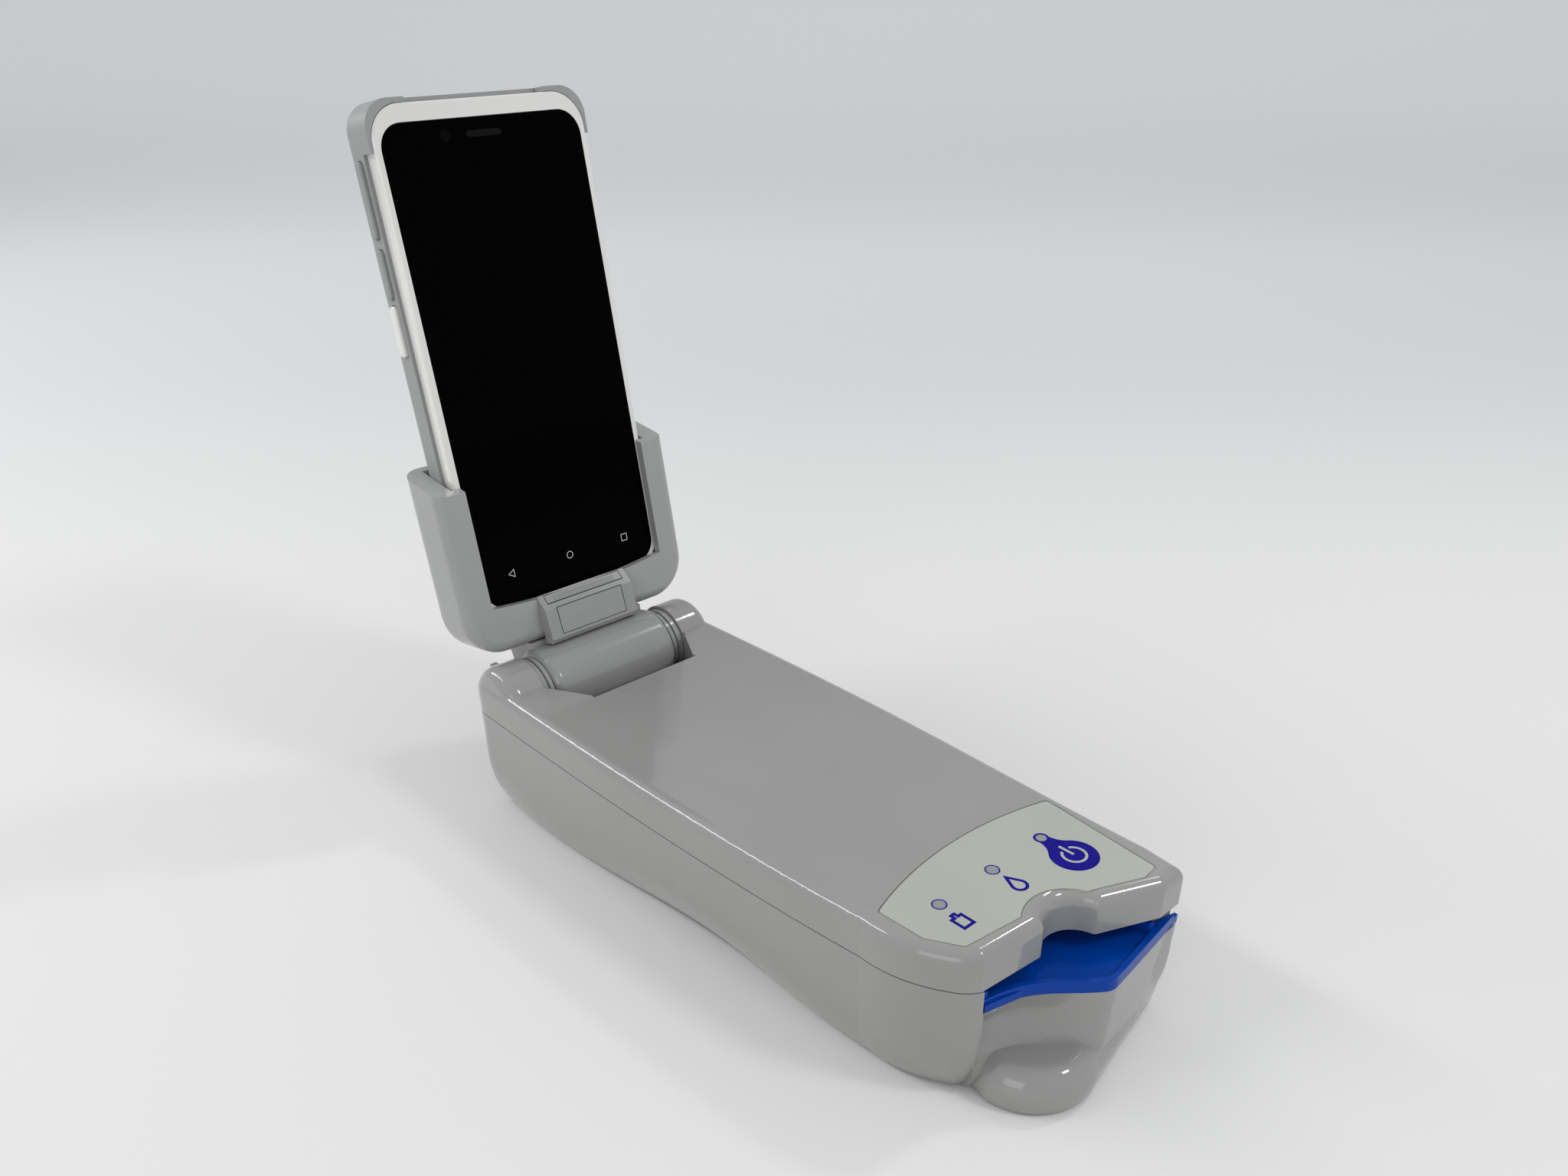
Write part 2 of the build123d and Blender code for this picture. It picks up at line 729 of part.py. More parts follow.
# Blue tray under the lip: a pointed shelf with a rim, then a straight channel for the card
with BuildPart() as card_tray:
    with BuildSketch(Plane.XY.offset(tray_z)) as tray_plan:
        add(nose_outline())
        add(front_band(4.6, 60.0), mode=Mode.SUBTRACT)
        with BuildSketch(mode=Mode.PRIVATE) as channel:
            add(slot_plan(slot_half + rim_wall, slot_end_y))
            add(body_outline(0.2), mode=Mode.INTERSECT)
        add(channel.sketch)
    extrude(amount=tray_floor)
    # Rim along the outer edge of the shelf
    with BuildSketch(Plane.XY.offset(tray_z)):
        add(nose_outline())
        add(front_band(2.6, 60.0), mode=Mode.SUBTRACT)
        add(nose_outline(rim_wall), mode=Mode.SUBTRACT)
    extrude(amount=tray_rim)
    # Rails beside the card
    with BuildSketch(Plane.XY.offset(tray_z)):
        add(slot_plan(slot_half + rim_wall, slot_end_y))
        add(slot_plan(slot_half, slot_end_y), mode=Mode.SUBTRACT)
        add(cover_outline(0.8), mode=Mode.INTERSECT)
    extrude(amount=side_rail)
    with BuildSketch(Plane.XY.offset(tray_z)):
        with Locations((plunger_x, plunger_y)):
            Circle(plunger_radius + 0.4)
    extrude(amount=tray_floor, mode=Mode.SUBTRACT)
card_tray.part.label = "card_tray"
export_step(card_tray.part, "parts/card_tray.step")

with BuildPart() as card_guide:
    with BuildSketch(Plane.XY.offset(guide_z)):
        with Locations((slot_x, slot_end_y - 23.0)):
            Rectangle(2 * slot_half - 2.0, 42.0)
    extrude(amount=guide_thickness)
    with BuildSketch(Plane.XY.offset(guide_z + guide_thickness)):
        with Locations([(side * 20.0 + slot_x, y) for side in (-1, 1) for y in guide_rows]):
            Circle(2.2)
    extrude(amount=inner_top - guide_z - guide_thickness)
card_guide.part.label = "card_guide"
export_step(card_guide.part, "parts/card_guide.step")

with BuildPart() as code_reader:
    with BuildSketch(Plane.XY.offset(guide_z + guide_thickness)):
        with Locations((slot_x, guide_rows[0] + 3.0)):
            RectangleRounded(16.0, 9.0, 1.0)
    extrude(amount=inner_top - guide_z - guide_thickness)
code_reader.part.label = "code_reader"
export_step(code_reader.part, "parts/code_reader.step")

with BuildPart() as heater_plate:
    with BuildSketch(Plane.XY.offset(tray_z - 1.8)):
        with Locations((slot_x, slot_end_y - 11.0)):
            RectangleRounded(36.0, 15.0, 2.0)
    extrude(amount=1.8)
heater_plate.part.label = "heater_plate"
export_step(heater_plate.part, "parts/heater_plate.step")

with BuildPart() as contact_block:
    with BuildSketch(Plane.XY.offset(board_z + board_thickness)):
        with Locations((slot_x, slot_end_y + 0.3)):
            Rectangle(42.0, 7.0, align=(Align.CENTER, Align.MIN))
    extrude(amount=split_z - 0.4 - board_z - board_thickness)
    with BuildSketch(Plane.XZ.offset(-slot_end_y - 0.3)):
        with Locations((slot_x, pin_z)):
            with GridLocations(pin_pitch, 0, pin_count, 1):
                Rectangle(1.2, 1.2)
    extrude(amount=-5.0, mode=Mode.SUBTRACT)
contact_block.part.label = "contact_block"
export_step(contact_block.part, "parts/contact_block.step")

with BuildPart() as contact_pins:
    with BuildSketch(Plane.XZ.offset(-slot_end_y - 0.3)):
        with Locations((slot_x, pin_z)):
            with GridLocations(pin_pitch, 0, pin_count, 1):
                Rectangle(1.2, 1.2)
    extrude(amount=-5.0)
    with BuildSketch(Plane.XZ.offset(-slot_end_y - 0.3)):
        with Locations((slot_x, pin_z)):
            with GridLocations(pin_pitch, 0, pin_count, 1):
                Rectangle(0.8, 0.8)
    extrude(amount=1.4)
contact_pins.part.label = "contact_pins"
export_step(contact_pins.part, "parts/contact_pins.step")

with BuildPart() as actuator_can:
    with BuildSketch(Plane.XY.offset(floor_z)):
        with Locations((plunger_x, plunger_y)):
            Circle(8.0)
    extrude(amount=can_top - floor_z)
    with BuildSketch(Plane.XY.offset(floor_z + 6.0)):
        with Locations((plunger_x, plunger_y)):
            Circle(plunger_radius + plunger_gap)
    extrude(amount=40.0, mode=Mode.SUBTRACT)
actuator_can.part.label = "actuator_can"
export_step(actuator_can.part, "parts/actuator_can.step")

with BuildPart() as plunger:
    with BuildSketch(Plane.XY.offset(floor_z + 8.0)):
        with Locations((plunger_x, plunger_y)):
            Circle(plunger_radius)
    extrude(amount=tray_z + tray_floor - 0.3 - floor_z - 8.0)
    chamfer(plunger.faces().sort_by(Axis.Z)[-1].edges(), 0.6)
plunger.part.label = "plunger"
export_step(plunger.part, "parts/plunger.step")

with BuildPart() as main_board:
    with BuildSketch(Plane.XY.offset(board_z)):
        with Locations((0, board_mid_y)):
            RectangleRounded(50.0, board_long, 3.0)
    extrude(amount=board_thickness)
main_board.part.label = "main_board"
export_step(main_board.part, "parts/main_board.step")

with BuildPart() as board_chips:
    with BuildSketch(Plane.XY.offset(board_z + board_thickness)):
        with Locations((-8.0, -10.0)):
            Rectangle(14.0, 14.0)
        with Locations((12.0, -16.0), (12.0, 0.0)):
            Rectangle(10.0, 8.0)
        with Locations((-6.0, 16.0)):
            Rectangle(18.0, 9.0)
    extrude(amount=1.4)
board_chips.part.label = "board_chips"
export_step(board_chips.part, "parts/board_chips.step")

with BuildPart() as battery_pack:
    with BuildSketch(Plane.XY.offset(sole_z + lid_thickness)):
        with Locations((0, hatch_y)):
            RectangleRounded(hatch_x - 10.0, hatch_long - 10.0, 3.0)
    extrude(amount=battery_high)
    chamfer(battery_pack.faces().sort_by(Axis.Z)[-1].edges(), 1.0)
battery_pack.part.label = "battery_pack"
export_step(battery_pack.part, "parts/battery_pack.step")

with BuildPart() as battery_lid:
    with BuildSketch(Plane.XY.offset(sole_z)):
        with Locations((0, hatch_y)):
            RectangleRounded(hatch_x, hatch_long, 3.8)
        with Locations(hatch_screws):
            Circle(1.2, mode=Mode.SUBTRACT)
    extrude(amount=lid_thickness)
    with BuildSketch(Plane.XY.offset(sole_z)):
        with Locations(hatch_screws):
            Circle(1.9)
    extrude(amount=0.8, mode=Mode.SUBTRACT)
battery_lid.part.label = "battery_lid"
export_step(battery_lid.part, "parts/battery_lid.step")

with BuildPart() as lid_screws:
    with BuildSketch(Plane.XY.offset(sole_z + 0.1)):
        with Locations(hatch_screws):
            Circle(1.8)
    extrude(amount=0.7)
    with BuildSketch(Plane.XY.offset(sole_z + 0.7)):
        with Locations(hatch_screws):
            Circle(1.1)
    extrude(amount=5.0)
lid_screws.part.label = "lid_screws"
export_step(lid_screws.part, "parts/lid_screws.step")

with BuildPart() as case_screws:
    with BuildSketch(Plane.XY.offset(screw_seat_z - 2.6)):
        with Locations(screw_places()):
            Circle(screw_head)
    extrude(amount=2.6)
    with BuildSketch(Plane.XY.offset(screw_seat_z)):
        with Locations(screw_places()):
            Circle(screw_radius)
    extrude(amount=screw_long)
case_screws.part.label = "case_screws"
export_step(case_screws.part, "parts/case_screws.step")

with BuildPart() as sole_pads:
    with BuildSketch():
        add(pad_plan(0.0))
    extrude(amount=sole_z + pad_recess)
sole_pads.part.label = "sole_pads"
export_step(sole_pads.part, "parts/sole_pads.step")

with BuildPart() as charge_board:
    with BuildSketch(Plane.XY.offset(floor_z)):
        with Locations((0, charge_board_y)):
            Rectangle(28.0, 1.6, align=(Align.CENTER, Align.MIN))
    extrude(amount=18.0)
charge_board.part.label = "charge_board"
export_step(charge_board.part, "parts/charge_board.step")

with BuildPart() as charge_pins:
    with BuildSketch(Plane.XZ.offset(-recess_y - 0.6)):
        with Locations([(x, charge_z) for x in charge_x]):
            Circle(charge_radius)
    extrude(amount=recess_y + 0.6 - charge_board_y - 1.6)
charge_pins.part.label = "charge_pins"
export_step(charge_pins.part, "parts/charge_pins.step")

# Hinge
with BuildPart() as hinge_shaft:
    with BuildSketch(hinge_side.offset(-shaft_half)):
        Circle(shaft_radius)
    extrude(amount=2 * shaft_half)
    chamfer(hinge_shaft.edges().filter_by(GeomType.CIRCLE), 0.5)
hinge_shaft.part.label = "hinge_shaft"
export_step(hinge_shaft.part, "parts/hinge_shaft.step")

with BuildPart() as hinge_collars:
    for side in (-1, 1):
        with BuildSketch(hinge_side.offset(side * (barrel_half + collar_gap))):
            Circle(collar_radius)
            Circle(shaft_radius, mode=Mode.SUBTRACT)
        extrude(amount=side * collar_long)
        with BuildSketch(hinge_side.offset(side * (barrel_half + collar_gap + 1.3))):
            Circle(collar_radius + 1.0)
            Circle(collar_radius - 0.8, mode=Mode.SUBTRACT)
        extrude(amount=side * 0.8, mode=Mode.SUBTRACT)
hinge_collars.part.label = "hinge_collars"
export_step(hinge_collars.part, "parts/hinge_collars.step")

with BuildPart() as cradle_arm:
    with BuildSketch(hinge_side.offset(-barrel_half)):
        Circle(barrel_radius)
    extrude(amount=2 * barrel_half)
    fillet(cradle_arm.edges().filter_by(GeomType.CIRCLE), 3.0)
    with BuildSketch(screen_side.offset(-neck_half)):
        Polygon(
            (2.0, 12.5),
            (2.0, cradle_bottom),
            (neck_back, cradle_bottom),
            (neck_back, cradle_bottom - 3.5),
            (13.0, -4.5),
            align=None,
        )
    extrude(amount=2 * neck_half)
    with BuildSketch(hinge_side.offset(-barrel_half)):
        Circle(shaft_radius + shaft_gap)
    extrude(amount=2 * barrel_half, mode=Mode.SUBTRACT)
    for side in (-1, 1):
        with BuildSketch(floor_plane.offset(cradle_bottom)):
            with Locations((side * arm_screw_x, arm_screw_w)):
                Circle(screw_radius + 0.05)
        extrude(amount=-8.5, mode=Mode.SUBTRACT)
cradle_arm.part.label = "cradle_arm"
export_step(cradle_arm.part, "parts/cradle_arm.step")


# Cradle: a cup behind a front lip, its walls sloping up to the rear
with BuildPart() as cradle_shell:
    with BuildSketch(screen.offset(cradle_back_w)):
        add(cradle_outline())
    extrude(amount=cradle_front_w - cradle_back_w)
    front_edges = cradle_shell.faces().sort_by(screen_axis)[-1].edges()
    fillet([edge for edge in front_edges if edge.center().Z < 118.0], front_edge)
    rear_edges = cradle_shell.faces().sort_by(screen_axis)[0].edges()
    fillet([edge for edge in rear_edges if edge.center().Z < 118.0], rear_edge)
    # Slope at the top of the walls
    with BuildSketch(screen_side.offset(-cradle_half - 1.0)):
        Polygon(
            (-5.0, lip_top - 1.1),
            (-cradle_front_w, lip_top),
            (-cradle_back_w, cradle_top),
            (40.0, cradle_top + 3.0),
            (40.0, 110.0),
            (-5.0, 110.0),
            align=None,
        )
    extrude(amount=2 * cradle_half + 2.0, mode=Mode.SUBTRACT)
    # Room for the host, and the window that the lip leaves before it
    with BuildSketch(screen.offset(cradle_back_w + back_thickness)):
        add(upright(host_half + fit_gap, pocket_floor, 120.0, boot_corner))
    extrude(
        amount=cradle_front_w - lip_thickness - cradle_back_w - back_thickness,
        mode=Mode.SUBTRACT,
    )
    with BuildSketch(screen.offset(cradle_front_w - lip_thickness - 0.1)):
        with BuildLine():
            ThreePointArc((-lip_half, chin_side), (0, chin_top), (lip_half, chin_side))
            Line((lip_half, chin_side), (lip_half, 120.0))
            Line((lip_half, 120.0), (-lip_half, 120.0))
            Line((-lip_half, 120.0), (-lip_half, chin_side))
        make_face()
    extrude(amount=10.0, mode=Mode.SUBTRACT)
    # Seat of the dock connector and holes for the arm's screws
    with BuildSketch(screen.offset(dock_w - dock_deep / 2)):
        with Locations((0, pocket_floor)):
            Rectangle(2 * dock_half, 2 * dock_high)
    extrude(amount=dock_deep, mode=Mode.SUBTRACT)
    for side in (-1, 1):
        with BuildSketch(floor_plane.offset(pocket_floor)):
            with Locations((side * arm_screw_x, arm_screw_w)):
                Circle(screw_head + 0.2)
        extrude(amount=-3.2, mode=Mode.SUBTRACT)
        with BuildSketch(floor_plane.offset(pocket_floor)):
            with Locations((side * arm_screw_x, arm_screw_w)):
                Circle(screw_radius + 0.2)
        extrude(amount=-20.0, mode=Mode.SUBTRACT)
cradle_shell.part.label = "cradle_shell"
export_step(cradle_shell.part, "parts/cradle_shell.step")

with BuildPart() as dock_connector:
    with BuildSketch(screen.offset(dock_w - dock_deep / 2)):
        with Locations((0, pocket_floor)):
            Rectangle(2 * dock_half, dock_high, align=(Align.CENTER, Align.MAX))
    extrude(amount=dock_deep)
    with BuildSketch(screen.offset(dock_w - 0.8)):
        with Locations((0, pocket_floor)):
            Rectangle(8.0, 3.2, align=(Align.CENTER, Align.MIN))
    extrude(amount=1.6)
dock_connector.part.label = "dock_connector"
export_step(dock_connector.part, "parts/dock_connector.step")

with BuildPart() as arm_screws:
    for side in (-1, 1):
        with BuildSketch(floor_plane.offset(pocket_floor - 3.2)):
            with Locations((side * arm_screw_x, arm_screw_w)):
                Circle(screw_head)
        extrude(amount=2.6)
        with BuildSketch(floor_plane.offset(pocket_floor - 3.2)):
            with Locations((side * arm_screw_x, arm_screw_w)):
                Circle(screw_radius)
        extrude(amount=-13.0)
arm_screws.part.label = "arm_screws"
export_step(arm_screws.part, "parts/arm_screws.step")

# Latch block on the cradle's front lip
block_profile = [
    (-cradle_front_w, block_low),
    (-block_front + 1.2, block_low),
    (-block_front, block_low + 1.6),
    (-block_front + 1.1, 26.2),
    (-cradle_front_w, block_top),
]
with BuildPart() as latch_housing:
    with BuildSketch(screen_side.offset(-block_half)):
        Polygon(*block_profile, align=None)
    extrude(amount=2 * block_half)
    # Room for the tab and its two side lugs
    with BuildSketch(screen.offset(cradle_front_w)):
        with Locations((0, tab_low - latch_travel - tab_gap)):
            Rectangle(2 * (tab_half + tab_gap), 20.0, align=(Align.CENTER, Align.MIN))
            Rectangle(
                2 * (tab_half + lug + tab_gap),
                latch_travel + 2 * tab_gap + 2.0,
                align=(Align.CENTER, Align.MIN),
            )
    extrude(amount=tab_deep + tab_gap, mode=Mode.SUBTRACT)
    with BuildSketch(screen.offset(block_front - 1.1 - plate_thickness)):
        with Locations((0, block_low + 2.6)):
            Rectangle(2 * plate_half + 0.3, 9.4, align=(Align.CENTER, Align.MIN))
    extrude(amount=5.0, mode=Mode.SUBTRACT)
latch_housing.part.label = "latch_housing"
export_step(latch_housing.part, "parts/latch_housing.step")

with BuildPart() as latch_tab:
    with BuildSketch(screen_side.offset(-tab_half)):
        Polygon(
            (-cradle_front_w - 0.3, tab_low),
            (-cradle_front_w - tab_deep, tab_low),
            (-cradle_front_w - tab_deep, block_top - tab_slope * tab_deep),
            (-cradle_front_w - 0.3, block_top - tab_slope * 0.3),
            align=None,
        )
    extrude(amount=2 * tab_half)
    with BuildSketch(screen.offset(cradle_front_w + 0.3)):
        with Locations((0, tab_low)):
            Rectangle(2 * (tab_half + lug), 2.0, align=(Align.CENTER, Align.MIN))
    extrude(amount=tab_deep - 0.3)
    for step in range(2):
        with BuildSketch(screen_side.offset(-tab_half + 3.0)):
            with Locations((-0.2 - 0.75 * step, block_top - 1.25 - 0.87 * step)):
                Circle(0.3)
        extrude(amount=2 * tab_half - 6.0)
latch_tab.part.label = "latch_tab"
export_step(latch_tab.part, "parts/latch_tab.step")

with BuildPart() as latch_plate:
    with BuildSketch(screen_side.offset(-plate_half)):
        Polygon(
            (-block_front + 1.1 + plate_thickness, block_low + 2.75),
            (-block_front + 0.15, block_low + 2.75),
            (-block_front + 1.0, block_low + 11.85),
            (-block_front + 1.1 + plate_thickness, block_low + 11.85),
            align=None,
        )
    extrude(amount=2 * plate_half)
latch_plate.part.label = "latch_plate"
export_step(latch_plate.part, "parts/latch_plate.step")

# Host: boot, frame, glass
with BuildPart() as host_boot:
    with BuildSketch(screen.offset(host_back_w)):
        add(upright(host_half, host_bottom, host_top, boot_corner))
    extrude(amount=frame_w - host_back_w)
    fillet(host_boot.faces().sort_by(screen_axis)[0].edges(), boot_edge)
    # Raised bumpers round the two upper corners
    for side in (-1, 1):
        with BuildSketch(screen.offset(frame_w)):
            add(upright(host_half, host_bottom, host_top, boot_corner))
            with Locations((side * host_half, host_top)):
                Rectangle(2 * bumper, 2 * bumper, mode=Mode.INTERSECT)
            add(
                upright(frame_half + 0.15, frame_low, frame_high + 0.15, frame_corner),
                mode=Mode.SUBTRACT,
            )
        extrude(amount=glass_w - 0.5 - frame_w)
    with BuildSketch(screen.offset(host_back_w + boot_wall)):
        add(
            upright(
                host_half - boot_wall,
                host_bottom + boot_wall,
                host_top - boot_wall,
                boot_corner - boot_wall,
            )
        )
    extrude(amount=frame_w - host_back_w - boot_wall, mode=Mode.SUBTRACT)
    # Openings: keys, dock, window on top, camera at the back, screws
    for low, high in key_spans:
        with BuildSketch(key_plane):
            with Locations(((low + high) / 2, -key_w)):
                RectangleRounded(high - low + 2 * key_gap, key_wide + 2 * key_gap, 1.2)
        extrude(amount=4 * boot_wall, both=True, mode=Mode.SUBTRACT)
    with BuildSketch(floor_plane.offset(host_bottom)):
        with Locations((0, dock_w)):
            Rectangle(8.8, 2.6)
    extrude(amount=2 * boot_wall, both=True, mode=Mode.SUBTRACT)
    with BuildSketch(floor_plane.offset(host_top)):
        with Locations((0, window_w)):
            RectangleRounded(18.4, 5.0, 1.6)
    extrude(amount=-0.9, mode=Mode.SUBTRACT)
    with BuildSketch(screen.offset(host_back_w)):
        with Locations((0, camera_u)):
            Circle(4.6)
    extrude(amount=0.9, mode=Mode.SUBTRACT)
    with BuildSketch(screen.offset(host_back_w)):
        with Locations(host_screws_at):
            Circle(1.9)
    extrude(amount=0.9, mode=Mode.SUBTRACT)
    with BuildSketch(screen.offset(host_back_w)):
        with Locations(host_screws_at):
            Circle(1.05)
    extrude(amount=2 * boot_wall, mode=Mode.SUBTRACT)
host_boot.part.label = "host_boot"
export_step(host_boot.part, "parts/host_boot.step")

with BuildPart() as host_frame:
    with BuildSketch(screen.offset(frame_w)):
        add(upright(frame_half, frame_low, frame_high, frame_corner))
    extrude(amount=glass_w - frame_w)
    chamfer(host_frame.faces().sort_by(screen_axis)[-1].edges(), 0.5)
    with BuildSketch(screen.offset(glass_w - glass_thickness)):
        add(
            upright(
                glass_half + 0.15,
                glass_bottom - 0.15,
                glass_bottom + glass_height + 0.15,
                glass_corner,
            )
        )
    extrude(amount=2 * glass_thickness, mode=Mode.SUBTRACT)
    with BuildSketch(screen.offset(frame_w)):
        add(upright(32.0, display_low - 0.5, display_high + 0.5, 3.0))
    extrude(amount=glass_w - frame_w, mode=Mode.SUBTRACT)
    with BuildSketch(screen.offset(glass_w - glass_thickness)):
        with Locations((0, ear_u)):
            SlotOverall(12.4, 2.0)
        with Locations((camera_x, ear_u)):
            Circle(1.8)
    extrude(amount=-1.0, mode=Mode.SUBTRACT)
host_frame.part.label = "host_frame"
export_step(host_frame.part, "parts/host_frame.step")

with BuildPart() as host_glass:
    with BuildSketch(screen.offset(glass_w - glass_thickness)):
        add(upright(glass_half, glass_bottom, glass_bottom + glass_height, glass_corner))
        with Locations((0, ear_u)):
            SlotOverall(12.4, 2.0, mode=Mode.SUBTRACT)
        with Locations((camera_x, ear_u)):
            Circle(1.8, mode=Mode.SUBTRACT)
    extrude(amount=glass_thickness)
host_glass.part.label = "host_glass"
export_step(host_glass.part, "parts/host_glass.step")

with BuildPart() as earpiece_mesh:
    with BuildSketch(screen.offset(glass_w - glass_thickness - 1.0)):
        with Locations((0, ear_u)):
            SlotOverall(12.2, 1.8)
    extrude(amount=glass_thickness + 0.8)
earpiece_mesh.part.label = "earpiece_mesh"
export_step(earpiece_mesh.part, "parts/earpiece_mesh.step")

with BuildPart() as front_camera:
    with BuildSketch(screen.offset(glass_w - glass_thickness - 1.0)):
        with Locations((camera_x, ear_u)):
            Circle(1.7)
    extrude(amount=glass_thickness + 0.9)
front_camera.part.label = "front_camera"
export_step(front_camera.part, "parts/front_camera.step")

with BuildPart() as display_panel:
    with BuildSketch(screen.offset(glass_w - glass_thickness)):
        add(upright(31.5, display_low, display_high, 2.5))
    extrude(amount=-1.8)
display_panel.part.label = "display_panel"
export_step(display_panel.part, "parts/display_panel.step")

with BuildPart() as host_board:
    with BuildSketch(screen.offset(host_back_w + boot_wall + 6.4)):
        add(upright(29.0, 112.0, 160.0, 3.0))
        with BuildSketch(mode=Mode.PRIVATE) as tail:
            add(upright(6.0, 34.0, 113.0, 1.0))
        add(tail.sketch)
    extrude(amount=1.2)
host_board.part.label = "host_board"
export_step(host_board.part, "parts/host_board.step")

with BuildPart() as host_battery:
    with BuildSketch(screen.offset(host_back_w + boot_wall)):
        add(upright(27.0, 45.0, 105.0, 3.0))
    extrude(amount=6.4)
host_battery.part.label = "host_battery"
export_step(host_battery.part, "parts/host_battery.step")

with BuildPart() as rear_camera:
    with BuildSketch(screen.offset(host_back_w + 0.9)):
        with Locations((0, camera_u)):
            Circle(4.5)
    extrude(amount=-1.5)
    with BuildSketch(screen.offset(host_back_w - 0.6)):
        with Locations((0, camera_u)):
            Circle(2.6)
    extrude(amount=0.5, mode=Mode.SUBTRACT)
rear_camera.part.label = "rear_camera"
export_step(rear_camera.part, "parts/rear_camera.step")

with BuildPart() as scan_window:
    with BuildSketch(floor_plane.offset(host_top - 0.9)):
        with Locations((0, window_w)):
            RectangleRounded(18.2, 4.8, 1.5)
    extrude(amount=0.8)
scan_window.part.label = "scan_window"
export_step(scan_window.part, "parts/scan_window.step")

with BuildPart() as host_screws:
    with BuildSketch(screen.offset(host_back_w + 0.9)):
        with Locations(host_screws_at):
            Circle(1.8)
    extrude(amount=-0.8)
    with BuildSketch(screen.offset(host_back_w + 0.9)):
        with Locations(host_screws_at):
            Circle(1.0)
    extrude(amount=2.5)
host_screws.part.label = "host_screws"
export_step(host_screws.part, "parts/host_screws.step")

with BuildPart() as key_upper:
    with BuildSketch(key_plane.offset(-key_inner)):
        with Locations(((key_spans[0][0] + key_spans[0][1]) / 2, -key_w)):
            RectangleRounded(key_spans[0][1] - key_spans[0][0], key_wide, 1.1)
    extrude(amount=key_inner + key_proud)
    chamfer(key_upper.faces().sort_by(Axis.X)[0].edges(), 0.4)
key_upper.part.label = "key_upper"
export_step(key_upper.part, "parts/key_upper.step")

with BuildPart() as key_middle:
    with BuildSketch(key_plane.offset(-key_inner)):
        with Locations(((key_spans[1][0] + key_spans[1][1]) / 2, -key_w)):
            RectangleRounded(key_spans[1][1] - key_spans[1][0], key_wide, 1.1)
    extrude(amount=key_inner + key_proud)
    chamfer(key_middle.faces().sort_by(Axis.X)[0].edges(), 0.4)
key_middle.part.label = "key_middle"
export_step(key_middle.part, "parts/key_middle.step")

with BuildPart() as key_white:
    with BuildSketch(key_plane.offset(-key_inner)):
        with Locations(((key_spans[2][0] + key_spans[2][1]) / 2, -key_w)):
            RectangleRounded(key_spans[2][1] - key_spans[2][0], key_wide, 1.1)
    extrude(amount=key_inner + key_proud)
    chamfer(key_white.faces().sort_by(Axis.X)[0].edges(), 0.4)
key_white.part.label = "key_white"
export_step(key_white.part, "parts/key_white.step")
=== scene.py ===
"""Looks of a hand-held card reader that carries a docked touch-screen host in a cradle.

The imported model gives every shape. This file gives each piece its finish, adds the signs on
the label and on the glass, and lights the whole on a pale floor. Lengths are in metres.
"""

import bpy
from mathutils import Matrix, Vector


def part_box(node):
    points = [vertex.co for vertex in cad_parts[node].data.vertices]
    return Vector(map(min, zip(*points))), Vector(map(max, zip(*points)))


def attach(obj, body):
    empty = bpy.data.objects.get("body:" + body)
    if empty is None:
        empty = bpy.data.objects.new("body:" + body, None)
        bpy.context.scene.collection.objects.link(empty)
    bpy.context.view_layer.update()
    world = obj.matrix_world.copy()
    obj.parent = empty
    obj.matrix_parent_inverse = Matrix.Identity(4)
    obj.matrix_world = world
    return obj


bl_info = {
    "name": "Card reader with docked host",
    "version": (1, 0, 0),
    "blender": (4, 5, 0),
    "location": "3D Viewport > Sidebar > Card Reader",
    "description": "Finishes, signs, light and camera for the card reader and its host",
    "category": "Object",
}

from math import acos, cos, pi, radians, sin

import bmesh
import bpy
from bpy.props import FloatProperty, FloatVectorProperty, PointerProperty
from mathutils import Matrix, Vector

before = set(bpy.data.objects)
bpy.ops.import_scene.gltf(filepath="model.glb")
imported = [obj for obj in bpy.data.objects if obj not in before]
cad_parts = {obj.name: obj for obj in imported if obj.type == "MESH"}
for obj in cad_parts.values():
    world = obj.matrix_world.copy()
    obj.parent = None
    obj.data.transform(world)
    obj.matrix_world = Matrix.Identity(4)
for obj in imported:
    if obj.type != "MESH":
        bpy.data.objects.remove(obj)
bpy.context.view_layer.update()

MM = 0.001

# The hinge's axis, how far the host leans back, and its glass's distance from that axis.
HINGE = Vector((0.0, 96.5, 43.0)) * MM
LEAN = radians(10.2)
UP_SCREEN = Vector((0.0, sin(LEAN), cos(LEAN)))
OUT_OF_SCREEN = Vector((0.0, -cos(LEAN), sin(LEAN)))
GLASS_OUT = -4.1 * MM

# A print starts this deep in the face that it lies on.
SINK = 0.005 * MM
# Thickness of the signs on the glass and of the painted gap shade round the latch.
FILM = 0.03 * MM
# Share of the ink's height in the power sign, so that its light's ring stays on top.
LOW_INK = 0.8
# Share of a light ring's line that lies outside the ring's radius.
RING_OUTSIDE = 0.4
# A sharp corner is drawn in by no more than the line's width over this.
SHARP_LIMIT = 0.35

# Middles of the label's lights and signs.
LIGHT_Y = -81.8 * MM
BATTERY_LIGHT_X = -21.4 * MM
DROP_LIGHT_X = 0.0
POWER_LIGHT_X = 21.2 * MM
BATTERY_PLACE = (-22.2 * MM, -89.8 * MM)
DROP_PLACE = (0.0, -91.0 * MM)
POWER_PLACE = (21.2 * MM, -93.0 * MM)

# Right half of the battery sign in mm, case first and then terminal.
BATTERY_HALF = ((2.3, -3.3), (2.3, 2.0), (1.1, 2.0), (1.1, 3.3))
# Thickness of the drop's line at its point, in lines, because its two sides meet there.
DROP_POINT = 2.2
# The power sign's bar in mm from the button's middle: half its width, its foot and its top.
BAR = (0.42, 0.2, 5.2)

